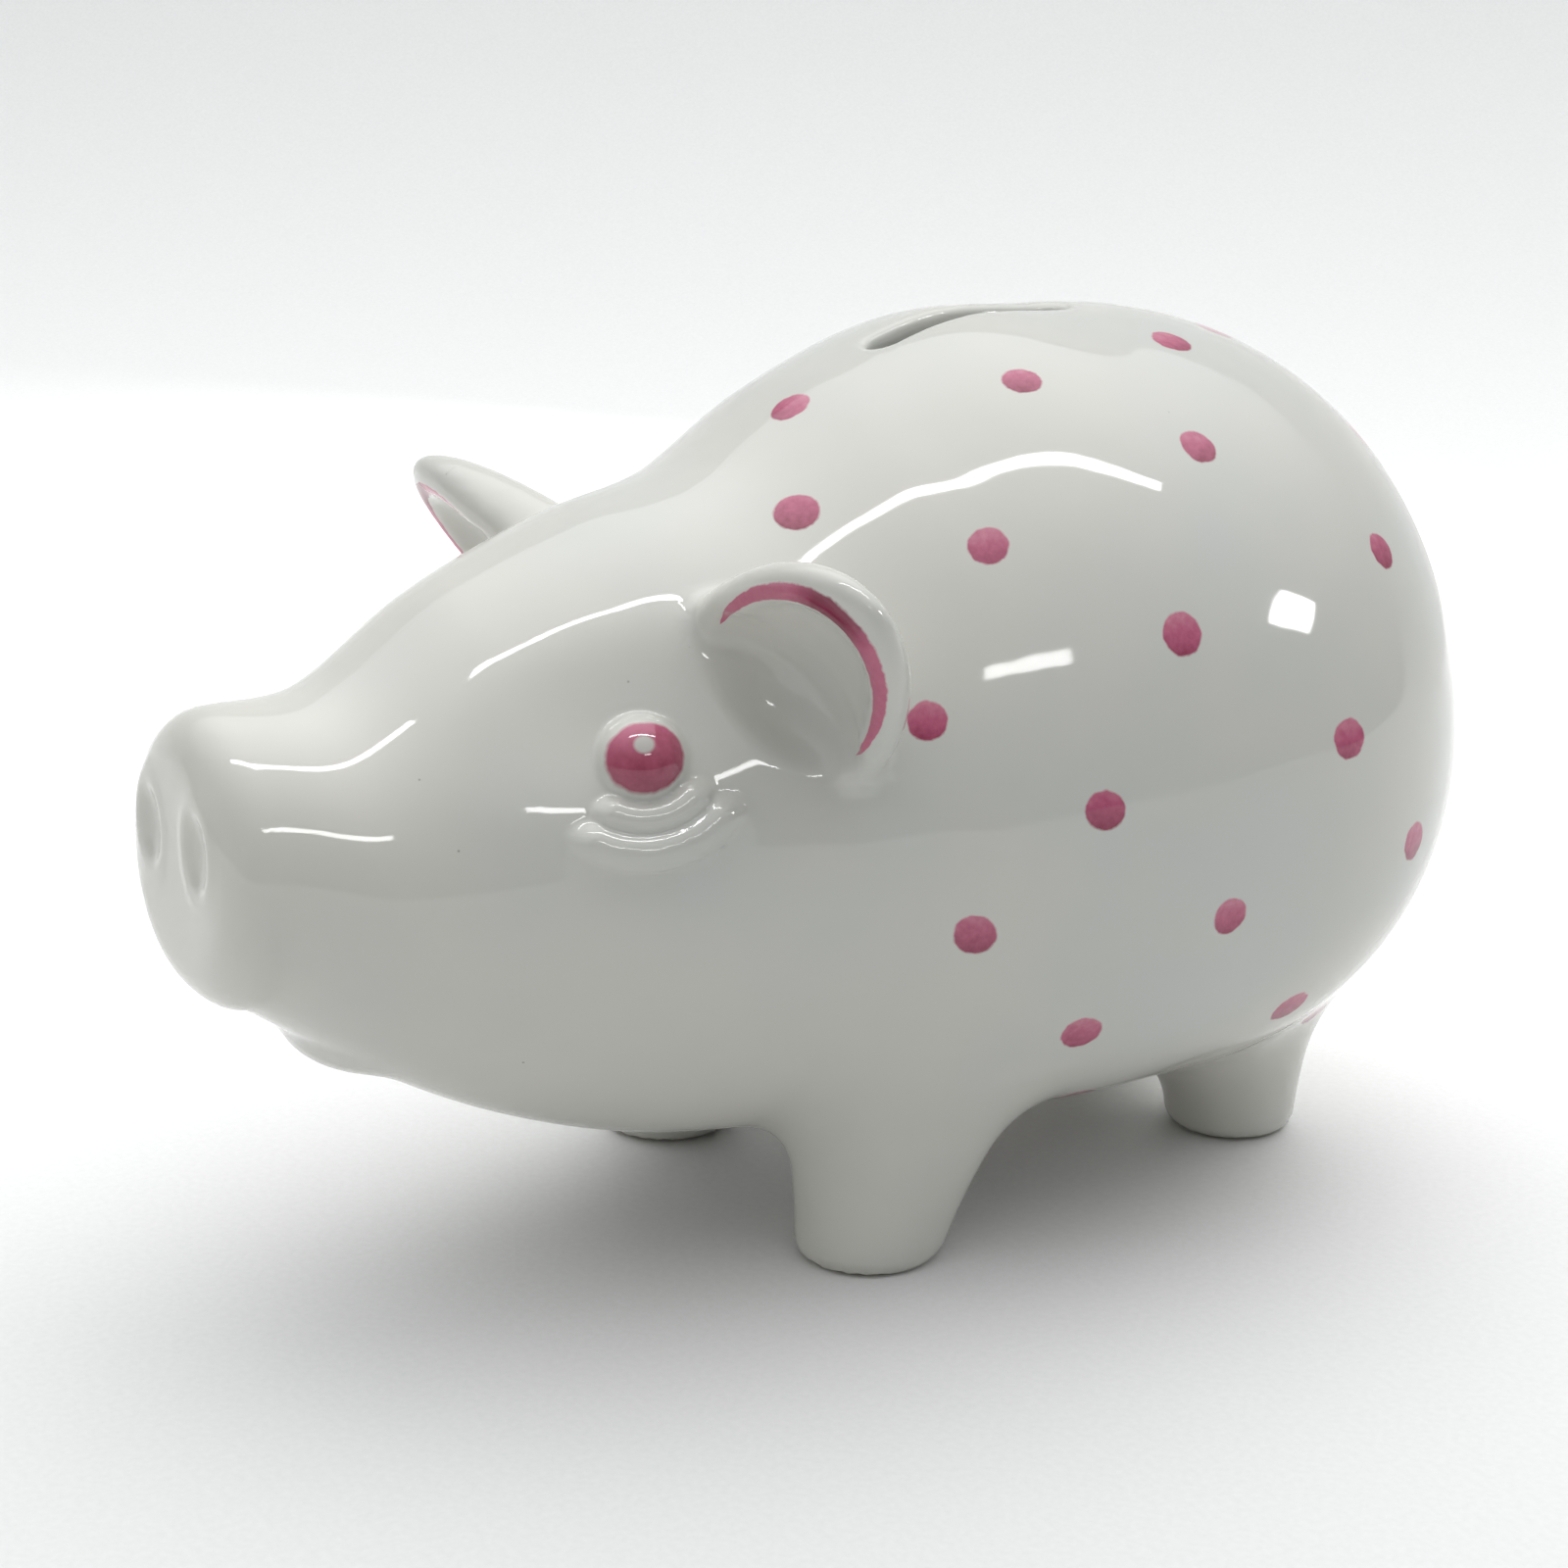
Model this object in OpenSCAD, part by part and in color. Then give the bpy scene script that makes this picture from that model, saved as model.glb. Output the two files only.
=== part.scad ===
// Porcelain pig coin bank with a key-locked metal trap in the belly.
// Millimetres. +Z is up, the pig faces -Y, its own left side is +X.
// The origin is on the table under the middle of the body.

/* [Body] */
// Length from the snout face to the rump
body_len = 200; // [170:1:230]
// Greatest width across the barrel
body_w = 124; // [112:1:140]
// Height of the back above the table
back_h = 128; // [118:1:145]
// Thickness of the cast wall
wall = 5; // [4:0.5:6]
// Size of the flat snout face against the full snout
snout_flat = 0.78; // [0.6:0.02:0.95]
// Roundness of the rump, 2 is an ellipse
rump_power = 2.2; // [2:0.1:2.6]
// Fullness of the belly, 2 is an ellipse
belly_power = 2.2; // [2:0.1:2.4]

/* [Coin slot] */
// Length of the slot along the spine
slot_len = 34; // [30:1:40]
// Width of the slot
slot_w = 5; // [4.3:0.1:5]
// Middle of the slot, behind the middle of the body
slot_y = 25; // [20:1:30]

/* [Legs] */
// Radius of the flat foot
foot_r = 10; // [8:0.5:11]
// Front feet, sideways from the middle
front_foot_x = 28.5; // [26:0.5:32]
// Front feet, along the body
front_foot_y = -10; // [-16:0.5:-6]
// Hind feet, sideways from the middle
hind_foot_x = 18; // [16:0.5:22]
// Hind feet, along the body
hind_foot_y = 65.5; // [62:0.5:68]

/* [Ears] */
// Width of the ear along its root
ear_w = 34; // [30:1:38]
// How far the ear stands out from the head
ear_reach = 36; // [30:1:40]
// Depth of the cupped inside
ear_cup = 5; // [3:0.5:7]
// Thickness of the rim
ear_rim = 4.6; // [3.5:0.1:6]

/* [Tail] */
// Radius of the curl
tail_r = 5; // [4:0.5:6]
// Thickness of the tail
tail_d = 4.4; // [3.5:0.1:5]
// Height of the curl above the table
tail_z = 94; // [93:0.5:96]

/* [Belly trap] */
// Radius of the hole in the belly
hole_r = 19.5; // [19.5:0.1:20]
// Middle of the trap, behind the middle of the body
trap_y = 25; // [23:1:26]
// Radius of the cover plate
plate_r = 23.2; // [22.8:0.1:23.4]
// Thickness of the pressed sheet
sheet = 0.8; // [0.6:0.1:0.9]
// Travel of each lock bolt
bolt_throw = 4.5; // [3.5:0.1:4.5]
// Turn of the lock from open to shut, degrees
lock_turn = 90; // [80:5:90]

/* [Hidden] */
$fn = 96;

ky = body_len / 200;
kx = body_w / 124;
kz = back_h / 128;

// Stations of the body: place along Y, top, bottom, half width, height of the widest point
st_y = [for (v = [-94, -78, -60, -40, -20, 0, 20, 40]) v * ky];
st_top = [for (v = [85, 86, 97, 105, 110, 121, 128, 128]) v * kz];
st_bottom = [45, 33, 25, 18, 15, 13, 12, 12];
st_half = [for (v = [20, 26, 33, 39, 46, 55, 60.5, 62]) v * kx];
st_mid = [for (v = [64, 60, 59, 60, 60, 60, 61, 63]) v * kz];
last = len(st_y) - 1;
rump_z = 68 * kz;

seat_z = 15;
seat_top = 21;
recess_r = 24;
gasket_t = 0.8;
plate_top = seat_z - gasket_t;
plate_bottom = plate_top - sheet;
case_r = hole_r - 0.9;
case_top = 26;
hub_r = 4;
journal_r = 3;
rotor_z = 19.6;
rotor_t = 1.4;
rotor_r = 15;
pin_r = 1;
pin_start = 7.5;
bolt_z = 21.5;
bolt_t = 1.8;
bolt_w = 8;
rivet_r = 1.25;
rivet_circle = 16;
run = 0.05;
eps = 0.01;

// Smooth curve through the stations, at any place y along the body
function seg(y, i = 0) = (i >= last - 1 || y < st_y[i + 1]) ? i : seg(y, i + 1);
function slope(v, i) =
    i == 0 ? (v[1] - v[0]) / (st_y[1] - st_y[0])
    : i == last ? 0
    : (v[i + 1] - v[i - 1]) / (st_y[i + 1] - st_y[i - 1]);
function along(v, y) =
    let (
        c = min(max(y, st_y[0]), st_y[last]),
        i = seg(c),
        h = st_y[i + 1] - st_y[i],
        t = (c - st_y[i]) / h
    )
    (2 * pow(t, 3) - 3 * pow(t, 2) + 1) * v[i]
    + (pow(t, 3) - 2 * pow(t, 2) + t) * h * slope(v, i)
    + (3 * pow(t, 2) - 2 * pow(t, 3)) * v[i + 1]
    + (pow(t, 3) - pow(t, 2)) * h * slope(v, i + 1);

// How far a section has closed in towards the snout face or the rump
function closing(y, y0, y1) =
    y < st_y[0] && y0 < st_y[0]
    ? snout_flat + (1 - snout_flat) * sqrt(1 - pow((st_y[0] - y) / (st_y[0] - y0), 2))
    : y > st_y[last] ? sqrt(max(0, 1 - pow((y - st_y[last]) / (y1 - st_y[last]), rump_power)))
    : 1;

// One section of the body: half width, rise, drop and middle height
function section(y, inset) =
    let (
        y0 = -body_len / 2 + inset,
        y1 = body_len / 2 - inset,
        s = closing(y, y0, y1),
        u = max(0, (y - st_y[last]) / (y1 - st_y[last])),
        m = along(st_mid, y)
    )
    [
        (along(st_half, y) - inset) * s,
        (along(st_top, y) - m - inset) * s,
        (m - along(st_bottom, y) - inset) * s,
        m + (rump_z - m) * u * u
    ];

function signed_pow(v, e) = sign(v) * pow(abs(v), e);
function section_point(y, inset, a) =
    let (q = section(y, inset), e = sin(a) > 0 ? 1 : 2 / belly_power)
    [
        q[0] * signed_pow(cos(a), e),
        y,
        q[3] + (sin(a) > 0 ? q[1] : q[2]) * signed_pow(sin(a), e)
    ];

// Closed skin of the body, drawn in by inset
module skin(inset, rings, sides) {
    y0 = -body_len / 2 + inset;
    y1 = body_len / 2 - inset;
    ys = [for (k = [1:rings]) y0 + (y1 - y0) * (1 - cos(180 * k / (rings + 1))) / 2];
    points = concat(
        [[0, y0, section(y0, inset)[3]], [0, y1, section(y1, inset)[3]]],
        [for (y = ys) for (j = [0:sides - 1]) section_point(y, inset, 360 * j / sides)]
    );
    side = function (k, j) 2 + k * sides + (j % sides);
    faces = concat(
        [for (j = [0:sides - 1]) [0, side(0, j + 1), side(0, j)]],
        [for (k = [0:rings - 2]) for (j = [0:sides - 1]) [side(k, j), side(k + 1, j + 1), side(k + 1, j)]],
        [for (k = [0:rings - 2]) for (j = [0:sides - 1]) [side(k, j), side(k, j + 1), side(k + 1, j + 1)]],
        [for (j = [0:sides - 1]) [1, side(rings - 1, j), side(rings - 1, j + 1)]]
    );
    polyhedron(points, faces);
}

module coin_slot() {
    translate([-slot_w / 2, slot_y - (slot_len - slot_w) / 2, back_h - 20])
        cube([slot_w, slot_len - slot_w, 30]);
    for (s = [-1, 1])
        translate([0, slot_y + s * (slot_len - slot_w) / 2, back_h - 20])
            cylinder(r = slot_w / 2, h = 30);
}

module body_shell() {
    color("whitesmoke")
        difference() {
            union() {
                difference() {
                    skin(0, 48, 48);
                    skin(wall, 30, 32);
                }
                translate([0, trap_y, seat_z + 1.5])
                    cylinder(r = recess_r + 1, h = seat_top - seat_z - 1.5);
            }
            translate([0, trap_y, 0])
                cylinder(r = recess_r, h = seat_z);
            translate([0, trap_y, 0])
                cylinder(r = hole_r, h = seat_top + 10);
            coin_slot();
        }
}

// Tapered leg that swells into the belly and stops inside the cast wall
module leg(x, y, top_z, lean_x, lean_y) {
    color("white")
        difference() {
            translate([x, y, 0])
                rotate_extrude()
                    polygon([
                        [0, 0], [foot_r - 0.8, 0], [foot_r, 0.8], [foot_r + 0.3, 4], [foot_r + 1, 9],
                        [foot_r + 2.2, 14], [foot_r + 3.5, 19], [foot_r + 4.5, 24], [foot_r + 5, 50], [0, 50]
                    ]);
            translate([x, y, top_z])
                rotate([lean_y, -lean_x, 0])
                    translate([-50, -50, 0])
                        cube([100, 100, 60]);
        }
}
module leg_front_left() leg(front_foot_x, front_foot_y, 24, 33, 4);
module leg_front_right() mirror([1, 0, 0]) leg_front_left();
module leg_hind_left() leg(hind_foot_x, hind_foot_y, 22, 14, 27);
module leg_hind_right() mirror([1, 0, 0]) leg_hind_left();

// Ear: a cupped half-oval leaf between three points on and off the head
ear_front = [24 * kx, -37 * ky, 96 * kz];
ear_back = [42 * kx, -22 * ky, 74 * kz];
ear_tip = [54 * kx, -36 * ky, 105 * kz];
function unit(v) = v / norm(v);
ear_ex = unit(ear_back - ear_front);
ear_en = unit(cross(ear_back - ear_front, ear_tip - ear_front));
ear_ey = cross(ear_en, ear_ex);
ear_root = 3;
function ear_point(r, a, side) =
    let (
        s = norm(ear_back - ear_front) / 2 - ear_w / 2 * r * cos(a),
        h = -ear_root + (ear_reach + ear_root) * r * sin(a),
        cup = -ear_cup * (1 - r * r),
        half = ear_rim / 2 * sqrt(max(0, 1 - pow(r, 6))) * (1.5 - 0.5 * r * sin(a))
    )
    ear_front + ear_ex * s + ear_ey * h + ear_en * (cup + side * half);

module ear_left() {
    rows = 8;
    cols = 24;
    front = [for (i = [1:rows - 1]) for (j = [0:cols]) ear_point(i / rows, 180 * j / cols, 1)];
    back = [for (i = [1:rows - 1]) for (j = [0:cols]) ear_point(i / rows, 180 * j / cols, -1)];
    rim = [for (j = [0:cols]) ear_point(1, 180 * j / cols, 0)];
    points = concat([ear_point(0, 0, 1), ear_point(0, 0, -1)], front, back, rim);
    f = function (i, j) i == rows ? 2 + 2 * (rows - 1) * (cols + 1) + j : 2 + (i - 1) * (cols + 1) + j;
    b = function (i, j) i == rows ? f(rows, j) : 2 + (rows - 1 + i - 1) * (cols + 1) + j;
    faces = concat(
        [for (j = [0:cols - 1]) [0, f(1, j), f(1, j + 1)]],
        [for (i = [1:rows - 1]) for (j = [0:cols - 1]) [f(i, j), f(i + 1, j), f(i + 1, j + 1)]],
        [for (i = [1:rows - 1]) for (j = [0:cols - 1]) [f(i, j), f(i + 1, j + 1), f(i, j + 1)]],
        [for (j = [0:cols - 1]) [1, b(1, j + 1), b(1, j)]],
        [for (i = [1:rows - 1]) for (j = [0:cols - 1]) [b(i, j), b(i + 1, j + 1), b(i + 1, j)]],
        [for (i = [1:rows - 1]) for (j = [0:cols - 1]) [b(i, j), b(i, j + 1), b(i + 1, j + 1)]],
        // the flat root, closed in strips from the middle to each end of the rim
        [[0, b(1, 0), f(1, 0)], [0, 1, b(1, 0)], [0, f(1, cols), b(1, cols)], [0, b(1, cols), 1]],
        [for (i = [1:rows - 2]) [f(i, 0), b(i, 0), b(i + 1, 0)]],
        [for (i = [1:rows - 2]) [f(i, 0), b(i + 1, 0), f(i + 1, 0)]],
        [for (i = [1:rows - 2]) [f(i, cols), b(i + 1, cols), b(i, cols)]],
        [for (i = [1:rows - 2]) [f(i, cols), f(i + 1, cols), b(i + 1, cols)]],
        [[f(rows - 1, 0), b(rows - 1, 0), f(rows, 0)], [f(rows - 1, cols), f(rows, cols), b(rows - 1, cols)]]
    );
    color("white") polyhedron(points, faces);
}
module ear_right() mirror([1, 0, 0]) ear_left();

// Flat curl laid on the rump
module tail() {
    tilt = 21;
    color("white")
        translate([0, body_len / 2 - 4.3, tail_z])
            rotate([-90 + tilt, 0, 0]) {
                rotate([0, 0, 100])
                    rotate_extrude(angle = 300)
                        translate([tail_r, 0])
                            circle(d = tail_d, $fn = 32);
                for (a = [100, 40])
                    rotate([0, 0, a])
                        translate([tail_r, 0, 0])
                            sphere(d = tail_d + 0.6);
            }
}

// Cover plate: pressed disc with a rolled rim, rivet holes and the lock's bearing hole
module trap_plate() {
    color("silver")
        translate([0, trap_y, 0])
            difference() {
                union() {
                    translate([0, 0, plate_bottom])
                        cylinder(r = plate_r - 0.5, h = sheet);
                    translate([0, 0, plate_bottom + sheet / 2])
                        rotate_extrude()
                            translate([plate_r - 0.5, 0])
                                circle(d = sheet + 0.2, $fn = 24);
                    translate([0, 0, plate_bottom - 0.5])
                        cylinder(r = 8, h = 0.6);
                }
                translate([0, 0, plate_bottom - 2])
                    cylinder(r = hub_r + run, h = 6);
                rivet_places()
                    translate([0, 0, plate_bottom - 2])
                        cylinder(r = rivet_r + run, h = 6, $fn = 32);
            }
}

module rivet_places() {
    for (a = [30, 150, 270])
        rotate([0, 0, a])
            translate([rivet_circle, 0, 0])
                children();
}

module trap_gasket() {
    color("dimgray")
        translate([0, trap_y, plate_top])
            difference() {
                cylinder(r = plate_r - 1.4, h = gasket_t);
                translate([0, 0, -1])
                    cylinder(r = hole_r, h = gasket_t + 2);
            }
}

// Cup that holds the lock, with a window for each bolt
module lock_case() {
    color("lightgray")
        translate([0, trap_y, plate_top])
            difference() {
                cylinder(r = case_r, h = case_top - plate_top);
                translate([0, 0, sheet])
                    cylinder(r = case_r - sheet, h = case_top - plate_top - 2 * sheet);
                translate([0, 0, -1])
                    cylinder(r = rivet_circle - 3, h = 3);
                cylinder(r = journal_r + run, h = 20);
                rivet_places()
                    translate([0, 0, -1])
                        cylinder(r = rivet_r + run, h = 3, $fn = 32);
                for (s = [-1, 1])
                    translate([-bolt_w / 2 - 0.3, s > 0 ? 0 : -case_r - 1, bolt_z - 0.3 - plate_top])
                        cube([bolt_w + 0.6, case_r + 1, bolt_t + 0.7]);
            }
}

module case_rivets() {
    color("silver")
        translate([0, trap_y, 0])
            rivet_places() {
                translate([0, 0, plate_bottom - 0.5])
                    cylinder(r = 2, h = 0.5, $fn = 32);
                translate([0, 0, plate_bottom - 0.1])
                    cylinder(r = rivet_r, h = 2 * sheet + 0.2, $fn = 32);
                translate([0, 0, plate_top + sheet])
                    cylinder(r = 2, h = 0.5, $fn = 32);
            }
}

// Rotor: hub with a keyhole, and a scroll plate whose two curved slots drive the bolts
module scroll_slot() {
    steps = 24;
    rate = bolt_throw / lock_turn;
    wide = pin_r + 0.4;
    arc = [for (i = [0:steps]) -lock_turn * i / steps];
    radius = function (a) pin_start - rate * a;
    far = radius(-lock_turn) * [cos(lock_turn), -sin(lock_turn)];
    cap = [for (i = [1:7]) 180 * i / 8];
    polygon(concat(
        [for (a = arc) (radius(a) + wide) * [cos(a), sin(a)]],
        [for (t = cap) far + wide * [cos(-lock_turn - t), sin(-lock_turn - t)]],
        [for (i = [steps:-1:0]) let (a = arc[i]) (radius(a) - wide) * [cos(a), sin(a)]],
        [for (t = cap) [pin_start, 0] + wide * [cos(180 - t), sin(180 - t)]]
    ));
}

module lock_rotor() {
    color("goldenrod")
        translate([0, trap_y, 0])
            difference() {
                union() {
                    translate([0, 0, plate_bottom - 0.4])
                        cylinder(r = hub_r, h = rotor_z - plate_bottom + 0.5);
                    translate([0, 0, rotor_z])
                        cylinder(r = rotor_r, h = rotor_t);
                    translate([0, 0, rotor_z + rotor_t - eps])
                        cylinder(r = journal_r, h = case_top + 0.15 - rotor_z - rotor_t);
                    translate([0, 0, case_top])
                        cylinder(r = 1.6, h = 1.4);
                }
                translate([0, 0, rotor_z - 1])
                    linear_extrude(height = rotor_t + 2)
                        for (a = [90, 270])
                            rotate(a)
                                scroll_slot();
                translate([-0.9, -3.2, 0])
                    cube([1.8, 6.4, rotor_z - 2]);
                cylinder(r = 1.5, h = rotor_z - 1);
            }
}

module rotor_washer() {
    color("silver")
        translate([0, trap_y, case_top + 0.2])
            difference() {
                cylinder(r = 5, h = 0.8);
                translate([0, 0, -1])
                    cylinder(r = 1.6, h = 3);
            }
}

// Bolt: flat bar with a pin that rides in the scroll slot, drawn in the open position
module lock_bolt(side) {
    color("silver")
        translate([0, trap_y, 0])
            rotate([0, 0, side > 0 ? 0 : 180]) {
                translate([0, 5.2, bolt_z])
                    intersection() {
                        translate([-bolt_w / 2, 0, 0])
                            cube([bolt_w, 20, bolt_t]);
                        translate([0, -5.2, -1])
                            cylinder(r = case_r - 0.3, h = 5);
                    }
                translate([0, pin_start, rotor_z - 0.3])
                    cylinder(r = pin_r, h = bolt_z - rotor_z + 0.4, $fn = 32);
            }
}
module lock_bolt_front() lock_bolt(-1);
module lock_bolt_rear() lock_bolt(1);

body_shell();
ear_left();
ear_right();
tail();
leg_front_left();
leg_front_right();
leg_hind_left();
leg_hind_right();
trap_plate();
trap_gasket();
lock_case();
case_rivets();
lock_rotor();
rotor_washer();
lock_bolt_front();
lock_bolt_rear();
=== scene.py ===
"""Porcelain pig money box with hand-painted dots and a key-locked metal trap in the belly."""
import logging
import math
from dataclasses import dataclass, field
from enum import Enum
from typing import Callable, Sequence

import bmesh
import bpy
import numpy as np
from mathutils import Matrix, Vector


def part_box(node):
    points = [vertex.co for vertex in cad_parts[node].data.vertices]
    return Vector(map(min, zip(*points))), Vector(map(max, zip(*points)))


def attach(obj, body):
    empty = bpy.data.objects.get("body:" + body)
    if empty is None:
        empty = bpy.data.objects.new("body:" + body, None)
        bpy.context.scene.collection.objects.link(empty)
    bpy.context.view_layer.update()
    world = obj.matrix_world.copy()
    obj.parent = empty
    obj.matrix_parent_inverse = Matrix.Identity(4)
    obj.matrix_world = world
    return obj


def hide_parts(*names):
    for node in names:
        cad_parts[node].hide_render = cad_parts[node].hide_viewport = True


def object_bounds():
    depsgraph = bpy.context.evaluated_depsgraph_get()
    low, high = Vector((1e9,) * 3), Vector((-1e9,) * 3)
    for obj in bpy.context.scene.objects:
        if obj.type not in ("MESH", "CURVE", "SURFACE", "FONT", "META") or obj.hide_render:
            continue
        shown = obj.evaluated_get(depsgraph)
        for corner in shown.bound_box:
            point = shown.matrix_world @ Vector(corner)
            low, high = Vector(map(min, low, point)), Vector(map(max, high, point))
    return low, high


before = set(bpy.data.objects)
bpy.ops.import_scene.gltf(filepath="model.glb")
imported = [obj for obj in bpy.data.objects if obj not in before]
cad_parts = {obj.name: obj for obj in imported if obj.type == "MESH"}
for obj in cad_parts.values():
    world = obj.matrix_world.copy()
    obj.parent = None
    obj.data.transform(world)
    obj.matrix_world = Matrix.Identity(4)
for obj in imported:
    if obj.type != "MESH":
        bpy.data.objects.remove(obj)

MM = 0.001
CAD_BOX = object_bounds()
LOG = logging.getLogger("pig_bank")

Points = np.ndarray
Level = Callable[[Points], np.ndarray]


# ---------------------------------------------------------------- colour and nodes


def linear(hex_code: str) -> tuple[float, float, float, float]:
    """Turn an sRGB hex value into the linear colour that the shaders want.

    Args:
        hex_code: six hex digits.

    Returns:
        Linear red, green and blue, with alpha 1.
    """
    values = [int(hex_code[i:i + 2], 16) / 255 for i in (0, 2, 4)]
    red, green, blue = [v / 12.92 if v <= 0.04045 else ((v + 0.055) / 1.055) ** 2.4 for v in values]
    return red, green, blue, 1.0


def add_node(tree: bpy.types.NodeTree, kind: str, settings: dict | None = None,
             links: dict | None = None) -> bpy.types.Node:
    """Add a node, set its properties and constant inputs, and link its other inputs.

    Args:
        tree: the node tree to add to.
        kind: the node's type name.
        settings: property names, or input names or numbers, with their constant values.
        links: input names or numbers, with the output socket that feeds each one.

    Returns:
        The new node.
    """
    made = tree.nodes.new(kind)
    for key, value in (settings or {}).items():
        if isinstance(key, str) and hasattr(made, key):
            setattr(made, key, value)
        else:
            made.inputs[key].default_value = value
    for key, socket in (links or {}).items():
        tree.links.new(socket, made.inputs[key])
    return made


def ramp(tree: bpy.types.NodeTree, factor: bpy.types.NodeSocket,
         stops: Sequence[tuple[float, tuple[float, float, float, float]]]) -> bpy.types.NodeSocket:
    """Add a colour ramp with the given stops.

    Args:
        tree: the node tree to add to.
        factor: the socket that drives the ramp.
        stops: places from 0 to 1, with their linear colours.

    Returns:
        The ramp's colour socket.
    """
    made = add_node(tree, "ShaderNodeValToRGB", links={"Fac": factor})
    elements = made.color_ramp.elements
    while len(elements) < len(stops):
        elements.new(0.5)
    for element, (place, colour) in zip(elements, stops):
        element.position = place
        element.color = colour
    return made.outputs["Color"]


def new_material(name: str) -> tuple[bpy.types.Material, bpy.types.NodeTree, bpy.types.Node]:
    """Make an empty node material with one Principled shader.

    Args:
        name: the material's name.

    Returns:
        The material, its node tree and its Principled node.
    """
    made = bpy.data.materials.new(name)
    made.use_nodes = True
    tree = made.node_tree
    return made, tree, tree.nodes["Principled BSDF"]


# ---------------------------------------------------------------- finishes


@dataclass(frozen=True)
class PaintedPorcelain:
    """Feldspar glaze over white porcelain, with raspberry overglaze brushwork.

    The glaze is thick and mirror-smooth with a very faint orange peel, so long lights bend slightly in it.
    The paint is thin at its upper edge and pools darker at its lower edge, as brushed enamel does.
    """

    body: str = "CFCEC7"
    thin_glaze: str = "D4D2CA"
    cool_glaze: str = "C9CBC6"
    paint: str = "B85F7C"
    paint_dark: str = "84304A"
    paint_thin: str = "CB8296"
    iris: str = "8E3F55"
    iris_light: str = "A8546A"
    spot: str = "BDBAB4"
    bisque: str = "D9D2C4"
    glaze_roughness: float = 0.05
    bisque_roughness: float = 0.75
    ior: float = 1.5
    peel_mm: float = 16.0
    speck_mm: float = 7.0
    stroke_width: float = 0.1

    def make(self) -> bpy.types.Material:
        """Build the glazed and painted material."""
        made, tree, shader = new_material("glazed_porcelain_raspberry_enamel")
        place = add_node(tree, "ShaderNodeTexCoord").outputs["Object"]
        cloud = add_node(tree, "ShaderNodeTexNoise", {"Scale": 22.0, "Detail": 3.0}, {"Vector": place})
        glaze = ramp(tree, cloud.outputs["Fac"], [
            (0.3, linear(self.cool_glaze)), (0.5, linear(self.body)), (0.72, linear(self.thin_glaze))])
        glaze = self._specks(tree, place, glaze)
        wobble = add_node(tree, "ShaderNodeTexNoise", {"Scale": 620.0, "Detail": 2.0}, {"Vector": place})
        grain = add_node(tree, "ShaderNodeTexNoise", {"Scale": 900.0, "Detail": 2.0}, {"Vector": place})
        streak = add_node(tree, "ShaderNodeMath", {"operation": "MULTIPLY_ADD", 1: 0.55, 2: 0.2},
                          {0: grain.outputs["Fac"]})
        colour = self._dots(tree, glaze, wobble.outputs["Fac"], streak.outputs[0])
        colour = self._ear_stroke(tree, colour, wobble.outputs["Fac"], streak.outputs[0])
        colour = self._iris(tree, colour, wobble.outputs["Fac"], streak.outputs[0])
        bare = add_node(tree, "ShaderNodeAttribute", {"attribute_name": "bare"}).outputs["Fac"]
        grit = add_node(tree, "ShaderNodeTexNoise", {"Scale": 900.0, "Detail": 4.0}, {"Vector": place})
        raw = ramp(tree, grit.outputs["Fac"], [(0.3, linear("C9C0B0")), (0.65, linear(self.bisque))])
        final = add_node(tree, "ShaderNodeMix", {"data_type": "RGBA"}, {0: bare, 6: colour, 7: raw})
        tree.links.new(final.outputs[2], shader.inputs["Base Color"])
        shine = add_node(tree, "ShaderNodeMapRange", {"To Min": self.glaze_roughness,
                                                      "To Max": self.bisque_roughness}, {"Value": bare})
        tree.links.new(shine.outputs["Result"], shader.inputs["Roughness"])
        shader.inputs["IOR"].default_value = self.ior
        shader.inputs["Subsurface Weight"].default_value = 0.06
        shader.inputs["Subsurface Radius"].default_value = (1.0, 0.9, 0.8)
        shader.inputs["Subsurface Scale"].default_value = 0.0015
        tree.links.new(self._relief(tree, place, bare, grit.outputs["Fac"]), shader.inputs["Normal"])
        return made

    def _specks(self, tree: bpy.types.NodeTree, place: bpy.types.NodeSocket,
                glaze: bpy.types.NodeSocket) -> bpy.types.NodeSocket:
        """Scatter the few iron specks and pinholes that a fired glaze shows.

        Args:
            tree: the node tree to add to.
            place: object coordinates.
            glaze: the glaze colour so far.

        Returns:
            The glaze colour with specks.
        """
        cells = add_node(tree, "ShaderNodeTexVoronoi", {"Scale": 1000.0 / self.speck_mm}, {"Vector": place})
        near = add_node(tree, "ShaderNodeMapRange", {"From Min": 0.015, "From Max": 0.035,
                                                     "To Min": 0.6, "To Max": 0.0},
                        {"Value": cells.outputs["Distance"]})
        pick = add_node(tree, "ShaderNodeSeparateColor", links={0: cells.outputs["Color"]})
        few = add_node(tree, "ShaderNodeMath", {"operation": "GREATER_THAN", 1: 0.72}, {0: pick.outputs[0]})
        cover = add_node(tree, "ShaderNodeMath", {"operation": "MULTIPLY"},
                         {0: near.outputs["Result"], 1: few.outputs[0]})
        mixed = add_node(tree, "ShaderNodeMix", {"data_type": "RGBA", 7: linear("6E655A")},
                         {0: cover.outputs[0], 6: glaze})
        return mixed.outputs[2]

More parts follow.
